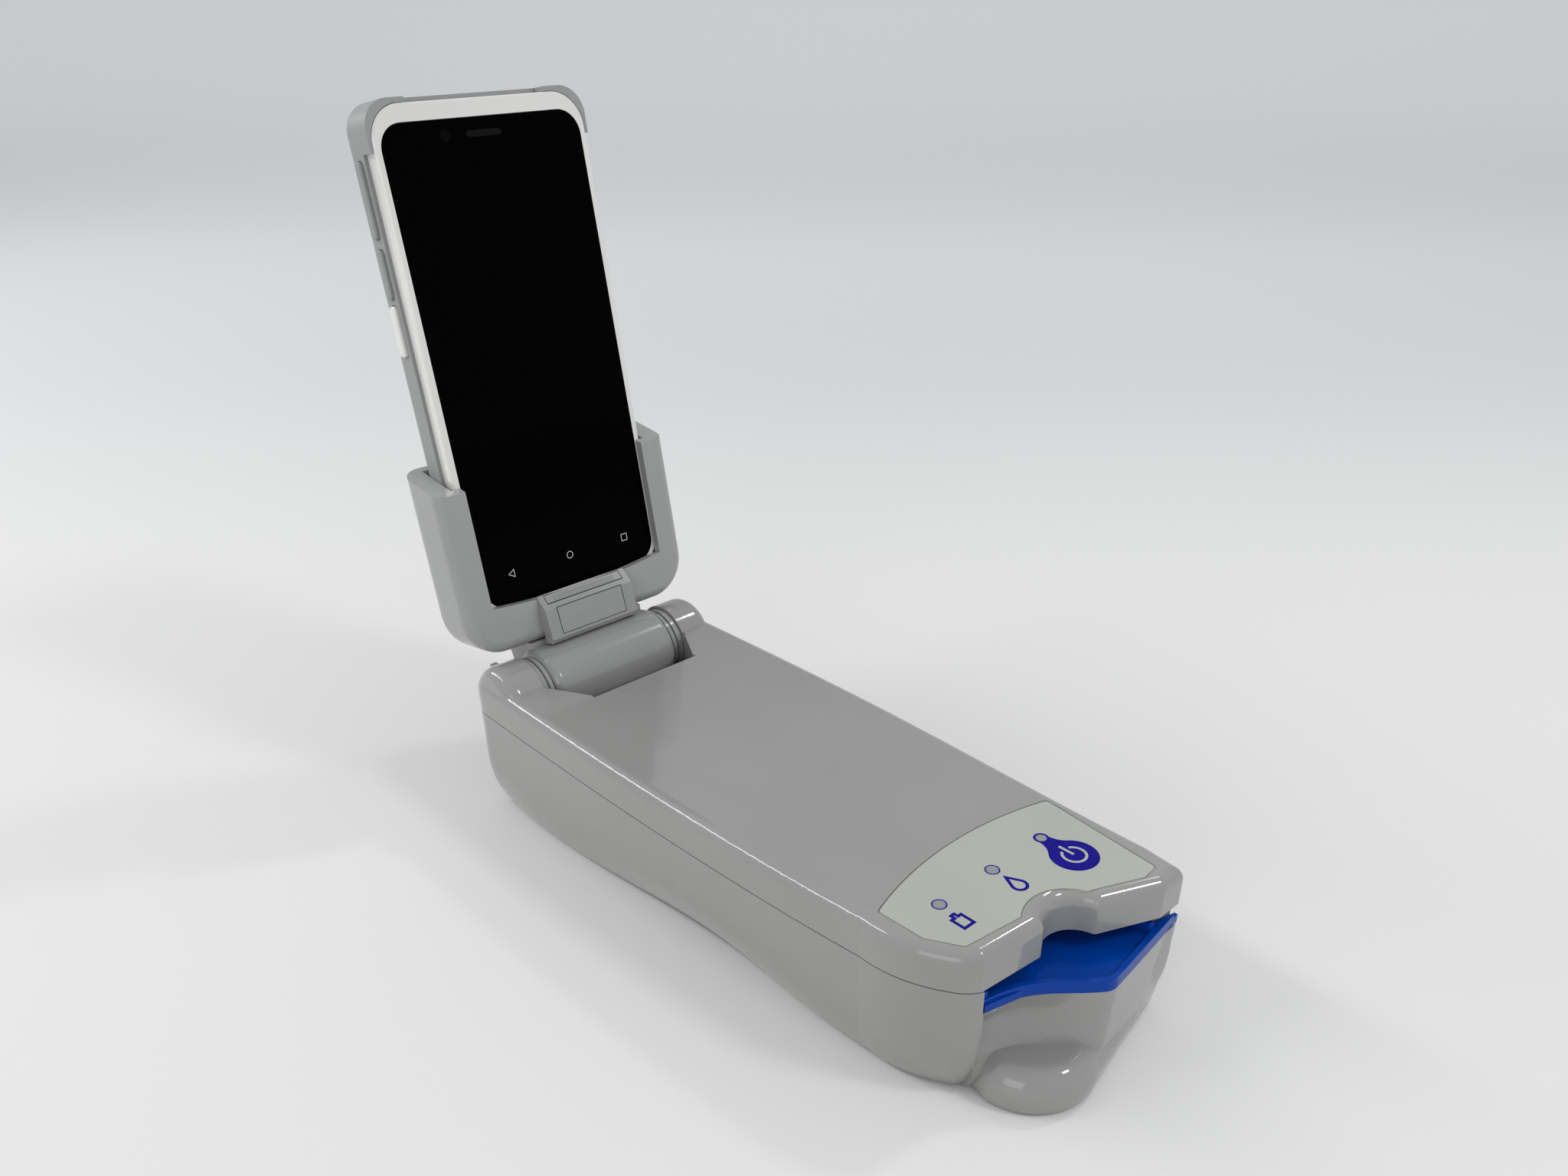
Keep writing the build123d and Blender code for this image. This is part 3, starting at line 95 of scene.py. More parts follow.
# The power sign's neck: the arcs at its foot and top as radius, start and sweep, and its
# hollow sides in mm, their foot and bend from the button's middle and their top from the light.
NECK_FOOT = (6.9 * MM, radians(48), radians(84))
NECK_TOP = (2.1 * MM, radians(205), radians(130))
SIDE_FOOT = (4.6, 5.2)
SIDE_BEND = (2.2, 7.2)
SIDE_TOP = (1.95, -0.6)

# Points round the drop's foot and the button, and along the arc and the neck's parts.
DROP_POINTS = 40
BUTTON_POINTS = 72
ARC_POINTS = 40
NECK_POINTS = 14
SIDE_STEPS = 8

# The row of touch keys on the glass, how far the outer two are from the middle, and the
# points of the middle one's circle.
KEY_ROW = 40.1 * MM
KEY_SPREAD = 23.0 * MM
CIRCLE_POINTS = 40

# The latch's tab in mm from the hinge's axis: its half width, foot, front and left side, the
# housing's side to its right, and its top, which falls from the back to the front edge.
TAB_HALF = 15.3
TAB_FOOT = 24.8
TAB_FRONT = 1.295
TAB_LEFT = -15.395
BLOCK_RIGHT = 15.655
TAB_TOP = 30.55
TAB_TOP_BACK = -0.9
TAB_TOP_FRONT = 1.3
TAB_TOP_FALL = 1.16
# The painted gap shade beside the tab, dark sheets over the gaps' shadow, from back to front.
TAB_GAP_SHADE = (-0.5, 1.25)
BLOCK_GAP_SHADE = (-0.5, 1.5)

# The latch's plate in mm: its half width, foot, top, front at the foot, how far that front
# leans back at the top, and the width of the painted shade line round it.
PLATE_HALF = 13.2
PLATE_FOOT = 17.15
PLATE_TOP = 26.25
PLATE_FRONT = 3.85
PLATE_LEAN = 0.85
PLATE_SHADE_LINE = 0.2

# Depth of the grain's bump, and gloss of the thin coat on mouldings.
GRAIN_DEPTH = 0.1 * MM
COAT_ROUGHNESS = 0.08

# The floor's half width and reach to the front, and the backdrop that it curves up into.
FLOOR_REACH = 40.0
WALL_DISTANCE = 2.2
WALL_CURVE = 1.2
WALL_TOP = 4.0
CURVE_STEPS = 16
FLOOR_TURN = radians(-44.0)
# Painted shade on the floor: the distance over which its tone changes, and the shares of it where
# each tone is met.
FADE = 2.5
FADE_STOPS = (0.09, 0.22, 0.45, 1.0)

# Each lamp's name, share of the lamps' power, two sides and place.
LAMPS = (
    ("Rear left strip", 1.0, (0.16, 1.10), (-0.58, 0.85, 0.80)),
    ("Front lamp", 0.6, (0.22, 0.22), (0.38, -0.85, 1.05)),
    ("Right lamp", 0.35, (0.12, 0.12), (0.80, -0.13, 1.08)),
    ("Left lamp", 0.38, (0.60, 0.60), (-1.15, -0.50, 0.45)),
)
LAMP_AIM = Vector((0.0, 0.0, 0.05))

# The photograph's viewpoint, solved for from corners of the host, the label and the body.
CAMERA_PLACE = Vector((-228.8, -248.9, 259.6)) * MM
CAMERA_VIEW = Vector((0.5907, 0.6106, -0.5274))
CAMERA_ROLL = radians(0.24)
CAMERA_SHIFT = (-0.0180, 0.1056)
SENSOR_WIDTH = 36.0
NEAREST_SEEN = 0.01


def colour(name, description, value):
    """A colour setting."""
    return FloatVectorProperty(
        name=name, description=description, subtype="COLOR", size=3, min=0.0, max=1.0, default=value
    )


def length(name, description, value):
    """A length setting in metres."""
    return FloatProperty(
        name=name, description=description, subtype="DISTANCE", unit="LENGTH", default=value
    )


class FinishColours(bpy.types.PropertyGroup):
    """Colours of the mouldings, prints, glass, rubbers and metals."""

    housing: colour("Housing", "Light grey moulding of the reader", (0.305, 0.306, 0.295))
    label: colour("Label", "Printed panel round the power button", (0.43, 0.448, 0.402))
    tray: colour("Tray", "Blue card tray", (0.0004, 0.048, 0.34))
    sign: colour("Signs", "Blue ink of the label", (0.006, 0.003, 0.24))
    light: colour("Lights", "Light pipes in the label", (0.27, 0.29, 0.30))
    pads: colour("Pads", "Dark rubber pads under the reader", (0.025, 0.025, 0.027))
    cradle: colour("Cradle", "Grey moulding of the arm, hinge and latch", (0.30, 0.306, 0.298))
    # The cup is a moulding of its own, its grey painted lighter than the arm's to stand in for the
    # extra light on its front wall.
    cup: colour("Cup", "Grey moulding that the host stands in", (0.335, 0.342, 0.334))
    # Painted shade: dark sheets laid over the latch's gaps, where there is only shadow.
    gap_shade: colour("Painted gaps", "Dark lines round the latch", (0.006, 0.006, 0.006))
    boot: colour("Boot", "Grey rubber boot round the host", (0.29, 0.295, 0.295))
    bezel: colour("Bezel", "White frame round the glass", (0.76, 0.76, 0.73))
    glass: colour("Glass", "Black front glass of the host", (0.0006, 0.0006, 0.0008))
    lens: colour("Lenses", "Dark camera lenses and display", (0.0015, 0.0015, 0.002))
    speaker: colour("Speaker", "Mesh over the earpiece", (0.002, 0.002, 0.0025))
    key_sign: colour("Key signs", "Pale signs of the touch keys", (0.75, 0.75, 0.75))
    steel: colour("Steel", "Shaft, screws and actuator", (0.55, 0.55, 0.56))
    alloy: colour("Aluminium", "Plate that warms the card", (0.68, 0.69, 0.70))
    gold: colour("Gold", "Contacts", (0.83, 0.60, 0.22))
    board: colour("Boards", "Circuit boards", (0.012, 0.10, 0.035))
    black: colour("Black", "Dark mouldings inside", (0.018, 0.018, 0.02))
    wrap: colour("Battery wrap", "Wrap of both batteries", (0.05, 0.06, 0.075))


class SignSizes(bpy.types.PropertyGroup):
    """Sizes of the printed signs."""

    line: length("Line", "Width of the battery's and the drop's line", 0.95 * MM)
    ink: length("Ink", "Height of the ink over the label", 0.04 * MM)
    ring: length("Ring", "Radius of the ring round each light", 2.0 * MM)
    ring_line: length("Ring line", "Width of the battery's and the drop's ring", 0.4 * MM)
    power_line: length("Power ring line", "Width of the power light's ring", 0.64 * MM)
    drop: length("Drop", "Radius of the drop's round foot", 2.55 * MM)
    drop_tip: length("Drop tip", "From the middle of the foot to the drop's point", 5.7 * MM)
    button: length("Button ring", "Outer radius of the ring round the button", 6.95 * MM)
    button_line: length("Button line", "Width of the ring round the button", 0.32 * MM)
    arc: length("Arc", "Outer radius of the arc on the button", 3.75 * MM)
    arc_line: length("Arc line", "Width of the arc on the button", 0.8 * MM)
    arc_opening: FloatProperty(
        name="Arc opening",
        description="Angle that the arc leaves open",
        subtype="ANGLE",
        unit="ROTATION",
        default=radians(52),
    )
    key_line: length("Key line", "Width of the lines on the glass", 0.18 * MM)
    triangle: length("Triangle", "Radius of the triangle's corners", 1.6 * MM)
    circle: length("Circle", "Radius of the circle", 1.25 * MM)
    square: length("Square", "Radius of the square's corners", 1.75 * MM)


class StageSettings(bpy.types.PropertyGroup):
    """Lens, lamps, world and floor."""

    focal: FloatProperty(
        name="Focal length", description="Lens of the camera", unit="CAMERA", default=29.87, min=1.0
    )
    lamp_power: FloatProperty(
        name="Lamps", description="Power of a lamp whose share is 1", unit="POWER", default=5.0
    )
    world_light: FloatProperty(name="World", description="Strength of the world", default=0.62)
    world: colour("World colour", "Faintly cool light from all round", (0.965, 0.975, 1.0))
    # Painted shade and light: the floor farther back is painted darker, and the backdrop lighter to
    # make up for the lamps' fall-off.
    floor: colour("Floor", "Floor round the object", (0.80, 0.80, 0.785))
    behind: colour("Floor behind", "Floor farther back", (0.74, 0.752, 0.752))
    backdrop: colour("Backdrop", "Backdrop that the floor curves up into", (0.96, 0.97, 0.975))


def node(tree, kind, place, inputs=None, **attributes):
    """A node of a kind at a place, with its attributes and then its inputs set."""
    made = tree.nodes.new(kind)
    made.location = place
    for name, value in attributes.items():
        setattr(made, name, value)
    for key, value in (inputs or {}).items():
        made.inputs[key].default_value = value
    return made


def join(tree, *links):
    """Links nodes, each link given as a node, its output, the next node and its input."""
    for source, output, target, entry in links:
        tree.links.new(source.outputs[output], target.inputs[entry])


def new_group(name, inputs, outputs):
    """A node group with named inputs and outputs, and the two nodes that stand for them."""
    tree = bpy.data.node_groups.new(name, "ShaderNodeTree")
    for label, value in inputs.items():
        kind = "NodeSocketColor" if isinstance(value, tuple) else "NodeSocketFloat"
        socket = tree.interface.new_socket(name=label, in_out="INPUT", socket_type=kind)
        socket.default_value = value
    for label, kind in outputs.items():
        tree.interface.new_socket(name=label, in_out="OUTPUT", socket_type=kind)
    return tree, node(tree, "NodeGroupInput", (-900, 0)), node(tree, "NodeGroupOutput", (700, 0))


def moulded_surface():
    """Group: a moulding's slight drift in colour, its grain and its uneven gloss."""
    if "Moulded surface" in bpy.data.node_groups:
        return bpy.data.node_groups["Moulded surface"]
    tree, entry, leave = new_group(
        "Moulded surface",
        {
            "Colour": (0.5, 0.5, 0.5, 1.0),
            "Drift": 0.04,
            "Grain Scale": 1800.0,
            "Grain Height": 0.3,
            "Roughness": 0.35,
            "Roughness Drift": 0.08,
        },
        {"Colour": "NodeSocketColor", "Roughness": "NodeSocketFloat", "Height": "NodeSocketFloat"},
    )
    where = node(tree, "ShaderNodeTexCoord", (-900, -300))
    broad = node(tree, "ShaderNodeTexNoise", (-650, 200), {"Scale": 22.0, "Detail": 3.0})
    fine = node(tree, "ShaderNodeTexNoise", (-650, -100), {"Detail": 2.0})
    scuff = node(tree, "ShaderNodeTexNoise", (-650, -400), {"Scale": 90.0, "Detail": 4.0})
    spread = {"From Min": 0.3, "From Max": 0.7, "To Min": -1.0, "To Max": 1.0}
    level = node(tree, "ShaderNodeMapRange", (-400, 200), spread)
    share = node(tree, "ShaderNodeMath", (-200, 200), {2: 1.0}, operation="MULTIPLY_ADD")
    tint = node(tree, "ShaderNodeVectorMath", (100, 200), operation="SCALE")
    uneven = node(tree, "ShaderNodeMath", (-200, -350), {1: 0.5}, operation="SUBTRACT")
    gloss = node(tree, "ShaderNodeMath", (0, -300), operation="MULTIPLY_ADD")
    relief = node(tree, "ShaderNodeMath", (0, -80), operation="MULTIPLY")
    join(
        tree,
        (where, "Object", broad, "Vector"),
        (where, "Object", fine, "Vector"),
        (where, "Object", scuff, "Vector"),
        (broad, "Fac", level, "Value"),
        (level, "Result", share, 0),
        (entry, "Drift", share, 1),
        (entry, "Colour", tint, 0),
        (share, 0, tint, "Scale"),
        (tint, "Vector", leave, "Colour"),
        (scuff, "Fac", uneven, 0),
        (uneven, 0, gloss, 0),
        (entry, "Roughness Drift", gloss, 1),
        (entry, "Roughness", gloss, 2),
        (gloss, 0, leave, "Roughness"),
        (entry, "Grain Scale", fine, "Scale"),
        (fine, "Fac", relief, 0),
        (entry, "Grain Height", relief, 1),
        (relief, 0, leave, "Height"),
    )
    return tree


def edge_wear():
    """Group: lightens a colour a little along rubbed edges."""
    if "Edge wear" in bpy.data.node_groups:
        return bpy.data.node_groups["Edge wear"]
    tree, entry, leave = new_group(
        "Edge wear",
        {"Colour": (0.5, 0.5, 0.5, 1.0), "Worn Colour": (0.7, 0.7, 0.7, 1.0), "Amount": 0.3},
        {"Colour": "NodeSocketColor"},
    )
    shape = node(tree, "ShaderNodeNewGeometry", (-900, -200))
    edges = {"From Min": 0.53, "From Max": 0.64}
    ridge = node(tree, "ShaderNodeMapRange", (-650, -200), edges)
    where = node(tree, "ShaderNodeTexCoord", (-900, -450))
    patches = node(tree, "ShaderNodeTexNoise", (-650, -450), {"Scale": 160.0, "Detail": 4.0})
    broken = node(tree, "ShaderNodeMath", (-400, -250), operation="MULTIPLY")
    amount = node(tree, "ShaderNodeMath", (-200, -150), operation="MULTIPLY")
    blend = node(tree, "ShaderNodeMix", (100, 0), data_type="RGBA")
    join(
        tree,
        (shape, "Pointiness", ridge, "Value"),
        (where, "Object", patches, "Vector"),
        (ridge, "Result", broken, 0),
        (patches, "Fac", broken, 1),
        (broken, 0, amount, 0),
        (entry, "Amount", amount, 1),
        (amount, 0, blend, "Factor"),
        (entry, "Colour", blend, "A"),
        (entry, "Worn Colour", blend, "B"),
        (blend, "Result", leave, "Colour"),
    )
    return tree


def paler(tone):
    """The tone of a finish where it is rubbed, a quarter brighter and a little lifted."""
    return (*[min(1.0, 1.25 * part + 0.04) for part in tone], 1.0)


def finish(
    name,
    tone,
    roughness,
    drift=0.03,
    roughness_drift=0.10,
    grain=1600.0,
    grain_height=0.35,
    bump=0.10,
    wear=0.25,
    metallic=0.0,
    coat=0.0,
    sheen=0.0,
    specular=0.5,
):
    """A material made of the moulded surface, the edge wear and its own shader values."""
    material = bpy.data.materials.new(name)
    material.use_nodes = True
    tree = material.node_tree
    tree.nodes.clear()
    output = node(tree, "ShaderNodeOutputMaterial", (700, 0))
    shader = node(
        tree,
        "ShaderNodeBsdfPrincipled",
        (400, 0),
        {
            "Metallic": metallic,
            "Coat Weight": coat,
            "Coat Roughness": COAT_ROUGHNESS,
            "Sheen Weight": sheen,
            "Specular IOR Level": specular,
        },
    )
    surface = node(
        tree,
        "ShaderNodeGroup",
        (-400, 0),
        {
            "Colour": (*tone, 1.0),
            "Drift": drift,
            "Grain Scale": grain,
            "Grain Height": grain_height,
            "Roughness": roughness,
            "Roughness Drift": roughness_drift,
        },
        node_tree=moulded_surface(),
    )
    rubbed = {"Amount": wear, "Worn Colour": paler(tone)}
    worn = node(tree, "ShaderNodeGroup", (-100, 100), rubbed, node_tree=edge_wear())
    texture = {"Strength": bump, "Distance": GRAIN_DEPTH}
    relief = node(tree, "ShaderNodeBump", (100, -250), texture)
    join(
        tree,
        (surface, "Colour", worn, "Colour"),
        (worn, "Colour", shader, "Base Color"),
        (surface, "Roughness", shader, "Roughness"),
        (surface, "Height", relief, "Height"),
        (relief, "Normal", shader, "Normal"),
        (shader, "BSDF", output, "Surface"),
    )
    return material


def put_on(material, *names):
    """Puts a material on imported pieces."""
    for name in names:
        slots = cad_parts[name].data.materials
        slots.clear()
        slots.append(material)


def add_object(name, data):
    """Links a new object with its data to the scene."""
    made = bpy.data.objects.new(name, data)
    bpy.context.scene.collection.objects.link(made)
    return made


def set_axes(thing, place, across, upward, back):
    """Puts a lamp or the camera at a place, with its own three axes along those given."""
    turn = Matrix((across, upward, back)).transposed().to_4x4()
    thing.matrix_world = Matrix.Translation(place) @ turn


def on_screen(x, up, out):
    """The point x across, up the screen and out of it, from the hinge's axis."""
    return HINGE + Vector((x, 0.0, 0.0)) + up * UP_SCREEN + out * OUT_OF_SCREEN


def add_print(name, outlines, place, thickness, body, material):
    """Adds a thin raised print, as a piece that rides on a body.

    One closed outline is filled. Two, with the same number of points, bound a line.
    """
    shape = bmesh.new()
    low, high = [
        [[shape.verts.new(place(x, y, height)) for x, y in outline] for outline in outlines]
        for height in (0.0, thickness)
    ]
    if len(outlines) == 1:
        rings = [low[0], high[0]]
        shape.faces.new(high[0])
        shape.faces.new(low[0][::-1])
    else:
        rings = [low[0], high[0], high[1], low[1], low[0]]
    count = len(outlines[0])
    for i in range(count):
        j = (i + 1) % count
        for ring, following in zip(rings, rings[1:]):
            shape.faces.new((ring[i], ring[j], following[j], following[i]))
    bmesh.ops.recalc_face_normals(shape, faces=shape.faces)
    mesh = bpy.data.meshes.new(name)
    shape.to_mesh(mesh)
    shape.free()
    mesh.materials.append(material)
    piece = add_object(name, mesh)
    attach(piece, body)


def in_mm(*corners):
    """An outline whose corners are given in mm."""
    return [(x * MM, y * MM) for x, y in corners]


def box_outline(half, foot, top):
    """A box across the middle line, given in mm."""
    return in_mm((-half, foot), (half, foot), (half, top), (-half, top))


def moved(outline, place):
    """An outline moved to a place."""
    return [(x + place[0], y + place[1]) for x, y in outline]


def round_outline(x, y, radius, count=48, start=0.0, sweep=2 * pi):
    """Points of a circle or of an arc."""
    steps = count if sweep >= 2 * pi else count - 1
    return [
        (x + radius * cos(start + sweep * i / steps), y + radius * sin(start + sweep * i / steps))
        for i in range(count)
    ]


def drawn_in(outline, amount):
    """A closed outline drawn in by an amount."""
    corners = [Vector(point) for point in outline]
    drawn = []
    for before, here, after in zip(corners[-1:] + corners, corners, corners[1:] + corners[:1]):
        first = (here - before).normalized()
        second = (after - here).normalized()
        side = Vector((-first.y, first.x))
        inward = (side + Vector((-second.y, second.x))).normalized()
        drawn.append(tuple(here + inward * amount / max(SHARP_LIMIT, inward.dot(side))))
    return drawn


def drop_outline(x, y, radius, tip):
    """A drop with a round foot and a point at distance tip behind its centre."""
    lean = pi / 2 - acos(radius / tip)
    foot = round_outline(x, y, radius, DROP_POINTS, pi - lean, pi + 2 * lean)
    return foot + [(x, y + tip)]


def tab_top(out):
    """Height in mm of the latch tab's sloped top, by the distance out of the screen."""
    return TAB_TOP - TAB_TOP_FALL * (out - TAB_TOP_BACK)


def tab_side(back, front):
    """Outline of a side of the latch's tab, from its foot to its sloped top."""
    return in_mm(
        (back, TAB_FOOT), (front, TAB_FOOT), (front, tab_top(front)), (back, tab_top(back))
    )


class READER_OT_housing(bpy.types.Operator):
    """Finishes of the reader's housing, label, tray, lights and pads."""

    bl_idname = "reader.housing"
    bl_label = "Reader Housing"

    def execute(self, context):
        tones = context.scene.reader_colours
        housing = finish(
            "Housing moulding",
            tones.housing,
            roughness=0.11,
            roughness_drift=0.05,
            coat=0.2,
            grain_height=0.3,
            bump=0.03,
        )
        put_on(housing, "lower_shell", "top_cover", "battery_lid")
        label = finish(
            "Label film", tones.label, roughness=0.42, grain=2600.0, bump=0.18, wear=0.0
        )
        put_on(label, "label_panel")
        tray = finish(
            "Blue tray",
            tones.tray,
            roughness=0.12,
            drift=0.02,
            grain_height=0.1,
            bump=0.02,
            wear=0.0,
            specular=0.14,
        )
        put_on(tray, "card_tray")
        ink = finish(
            "Blue ink", tones.sign, roughness=0.4, drift=0.0, bump=0.02, wear=0.0, specular=0.08
        )
        put_on(ink, "power_button")
        light = finish("Light pipe", tones.light, roughness=0.3, coat=0.1, bump=0.02, wear=0.0)
        put_on(light, "status_lenses")
        pads = finish("Pad rubber", tones.pads, roughness=0.75, grain=1200.0, bump=0.35, wear=0.1)
        put_on(pads, "sole_pads")
        return {"FINISHED"}


class READER_OT_hinge_and_cradle(bpy.types.Operator):
    """Finishes of the hinge, the cradle and its latch."""

    bl_idname = "reader.hinge_and_cradle"
    bl_label = "Hinge and Cradle"

    def execute(self, context):
        tones = context.scene.reader_colours
        arm = finish(
            "Arm moulding", tones.cradle, roughness=0.14, roughness_drift=0.06, coat=0.25, bump=0.05
        )
        put_on(arm, "cradle_arm", "hinge_collars", "latch_housing", "latch_plate", "latch_tab")
        # A moulding of its own, painted a lighter grey than the arm's as painted light on its front
        # wall.
        cup = finish(
            "Cup moulding", tones.cup, roughness=0.18, roughness_drift=0.06, coat=0.15, bump=0.07
        )
        put_on(cup, "cradle_shell")
        # Painted shade: dark sheets over the gaps round the latch's tab and plate.
        dark = finish(
            "Painted gap shade", tones.gap_shade, roughness=0.7, bump=0.0, wear=0.0, specular=0.02
        )
        self.latch_gap_shades(dark)
        return {"FINISHED"}

    def latch_gap_shades(self, dark):
        """Dark sheets of painted shade over the gaps round the latch's tab and plate."""

        def tab_front(x, up, height):
            return on_screen(x, up, TAB_FRONT * MM + height)

        def tab_left(out, up, height):
            return on_screen(TAB_LEFT * MM - height, up, out)

        def block_right(out, up, height):
            return on_screen(BLOCK_RIGHT * MM - height, up, out)

        def plate_face(x, up, height):
            lean = (up - PLATE_FOOT * MM) * PLATE_LEAN / (PLATE_TOP - PLATE_FOOT)
            return on_screen(x, up, PLATE_FRONT * MM - lean + height)

        front = [box_outline(TAB_HALF, TAB_FOOT, tab_top(TAB_TOP_FRONT))]
        plate = [
            box_outline(PLATE_HALF + line, PLATE_FOOT - line, PLATE_TOP + line)
            for line in (PLATE_SHADE_LINE, 0.0)
        ]
        for name, outlines, place, body in (
            ("tab_gap_shade_front", front, tab_front, "latch"),
            ("tab_gap_shade_left", [tab_side(*TAB_GAP_SHADE)], tab_left, "latch"),
            ("tab_gap_shade_right", [tab_side(*BLOCK_GAP_SHADE)], block_right, "cradle"),
            ("plate_gap_shade", plate, plate_face, "cradle"),
        ):
            add_print(name, outlines, place, FILM, body, dark)


class READER_OT_host(bpy.types.Operator):
    """Finishes of the host's boot, frame, glass and keys."""

    bl_idname = "reader.host"
    bl_label = "Docked Host"

    def execute(self, context):
        tones = context.scene.reader_colours
        boot = finish("Boot rubber", tones.boot, roughness=0.5, grain=1500.0, bump=0.2, sheen=0.1)
        put_on(boot, "host_boot", "key_upper", "key_middle")
        bezel = finish("White bezel", tones.bezel, roughness=0.16, coat=0.4, bump=0.02, wear=0.0)
        put_on(bezel, "host_frame", "key_white")
        glass = finish(
            "Front glass",
            tones.glass,
            roughness=0.05,
            drift=0.0,
            roughness_drift=0.03,
            bump=0.0,
            wear=0.0,
            specular=0.015,
        )
        put_on(glass, "host_glass", "scan_window")
        lens = finish("Dark lens", tones.lens, roughness=0.15, bump=0.0, wear=0.0, specular=0.04)
        put_on(lens, "front_camera", "rear_camera", "display_panel")
        mesh = finish(
            "Speaker mesh",
            tones.speaker,
            roughness=0.5,
            grain=5200.0,
            grain_height=1.0,
            bump=0.6,
            specular=0.05,
        )
        put_on(mesh, "earpiece_mesh")
        return {"FINISHED"}


class READER_OT_inner_pieces(bpy.types.Operator):
    """Finishes of the boards, metals and other pieces inside."""

    bl_idname = "reader.inner_pieces"
    bl_label = "Inner Pieces"

    def execute(self, context):
        tones = context.scene.reader_colours
        steel = finish("Steel", tones.steel, roughness=0.3, metallic=1.0, grain=700.0, bump=0.1)
        put_on(steel, "hinge_shaft", "case_screws", "lid_screws", "arm_screws", "host_screws")
        put_on(steel, "actuator_can")
        alloy = finish("Aluminium plate", tones.alloy, roughness=0.38, metallic=1.0, bump=0.12)
        put_on(alloy, "heater_plate")
        gold = finish("Gold contacts", tones.gold, roughness=0.2, metallic=1.0, bump=0.04)
        put_on(gold, "contact_pins", "charge_pins")
        board = finish("Circuit board", tones.board, roughness=0.36, drift=0.2, bump=0.2)
        put_on(board, "main_board", "key_board", "charge_board", "host_board")
        black = finish("Black moulding", tones.black, roughness=0.45, bump=0.2)
        put_on(black, "board_chips", "code_reader", "contact_block", "card_guide", "plunger")
        put_on(black, "dock_connector")
        wrap = finish("Battery wrap", tones.wrap, roughness=0.4, bump=0.15)
        put_on(wrap, "battery_pack", "host_battery")
        return {"FINISHED"}


class READER_OT_label_signs(bpy.types.Operator):
    """Printed battery, drop and power signs and the rings round the lights."""

    bl_idname = "reader.label_signs"
    bl_label = "Label Signs"

    def execute(self, context):
        sizes = context.scene.reader_signs
        ink = bpy.data.materials["Blue ink"]
        film = bpy.data.materials["Label film"]
        label_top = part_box("label_panel")[1].z
        button_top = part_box("power_button")[1].z

        def on_label(x, y, height):
            return Vector((x, y, label_top + height - SINK))

        def on_button(x, y, height):
            return Vector((x, y, button_top + height - SINK))

        def blue(name, *outlines, share=1.0):
            add_print(name, outlines, on_label, share * sizes.ink, "reader", ink)

        def pale(name, outline):
            add_print(name, [outline], on_button, sizes.ink, "button", film)

        for side, x, line in (
            ("left", BATTERY_LIGHT_X, sizes.ring_line),
            ("middle", DROP_LIGHT_X, sizes.ring_line),
            ("right", POWER_LIGHT_X, sizes.power_line),
        ):
            outer = sizes.ring + RING_OUTSIDE * line
            blue(
                f"light_ring_{side}",
                round_outline(x, LIGHT_Y, outer),
                round_outline(x, LIGHT_Y, outer - line),
            )

        battery = in_mm(*BATTERY_HALF, *[(-x, y) for x, y in reversed(BATTERY_HALF)])
        battery = moved(battery, BATTERY_PLACE)
        blue("battery_sign", battery, drawn_in(battery, sizes.line))

        inner_tip = sizes.drop_tip - DROP_POINT * sizes.line
        blue(
            "drop_sign",
            drop_outline(*DROP_PLACE, sizes.drop, sizes.drop_tip),
            drop_outline(*DROP_PLACE, sizes.drop - sizes.line, inner_tip),
        )

        blue(
            "power_ring",
            round_outline(*POWER_PLACE, sizes.button, BUTTON_POINTS),
            round_outline(*POWER_PLACE, sizes.button - sizes.button_line, BUTTON_POINTS),
            share=LOW_INK,
        )
        radius, start, sweep = NECK_FOOT
        neck = round_outline(*POWER_PLACE, radius, NECK_POINTS, start, sweep)
        neck += self.hollow_side(-1)
        radius, start, sweep = NECK_TOP
        neck += round_outline(POWER_LIGHT_X, LIGHT_Y, radius, NECK_POINTS, start, sweep)
        neck += self.hollow_side(1)[::-1]
        blue("power_neck", neck, share=LOW_INK)

        start = pi / 2 + sizes.arc_opening / 2
        sweep = 2 * pi - sizes.arc_opening
        outer = round_outline(*POWER_PLACE, sizes.arc, ARC_POINTS, start, sweep)
        inner = round_outline(*POWER_PLACE, sizes.arc - sizes.arc_line, ARC_POINTS, start, sweep)
        pale("power_arc", outer + inner[::-1])
        pale("power_bar", moved(box_outline(*BAR), POWER_PLACE))
        return {"FINISHED"}

    def hollow_side(self, side):
        """Points of the neck's left (-1) or right (1) side, from the button up to its light."""
        foot, bend, top = [
            Vector((middle[0] + side * x * MM, middle[1] + y * MM))
            for middle, (x, y) in (
                (POWER_PLACE, SIDE_FOOT),
                (POWER_PLACE, SIDE_BEND),
                ((POWER_LIGHT_X, LIGHT_Y), SIDE_TOP),
            )
        ]
        steps = [i / SIDE_STEPS for i in range(1, SIDE_STEPS)]
        return [tuple((1 - t) ** 2 * foot + 2 * t * (1 - t) * bend + t**2 * top) for t in steps]


class READER_OT_screen_signs(bpy.types.Operator):
    """Triangle, circle and square of the host's touch keys."""

    bl_idname = "reader.screen_signs"
    bl_label = "Screen Signs"

    def execute(self, context):
        sizes = context.scene.reader_signs
        tone = context.scene.reader_colours.key_sign
        pale = finish("Screen sign", tone, roughness=0.5, bump=0.0, wear=0.0)

        def on_glass(x, up, height):
            return on_screen(x, up, GLASS_OUT + height - SINK)

        for name, outline in (
            ("back_sign", round_outline(-KEY_SPREAD, KEY_ROW, sizes.triangle, 3, pi)),
            ("home_sign", round_outline(0.0, KEY_ROW, sizes.circle, CIRCLE_POINTS)),
            ("recent_sign", round_outline(KEY_SPREAD, KEY_ROW, sizes.square, 4, pi / 4)),
        ):
            outlines = [outline, drawn_in(outline, sizes.key_line)]
            add_print(name, outlines, on_glass, FILM, "host", pale)
        return {"FINISHED"}


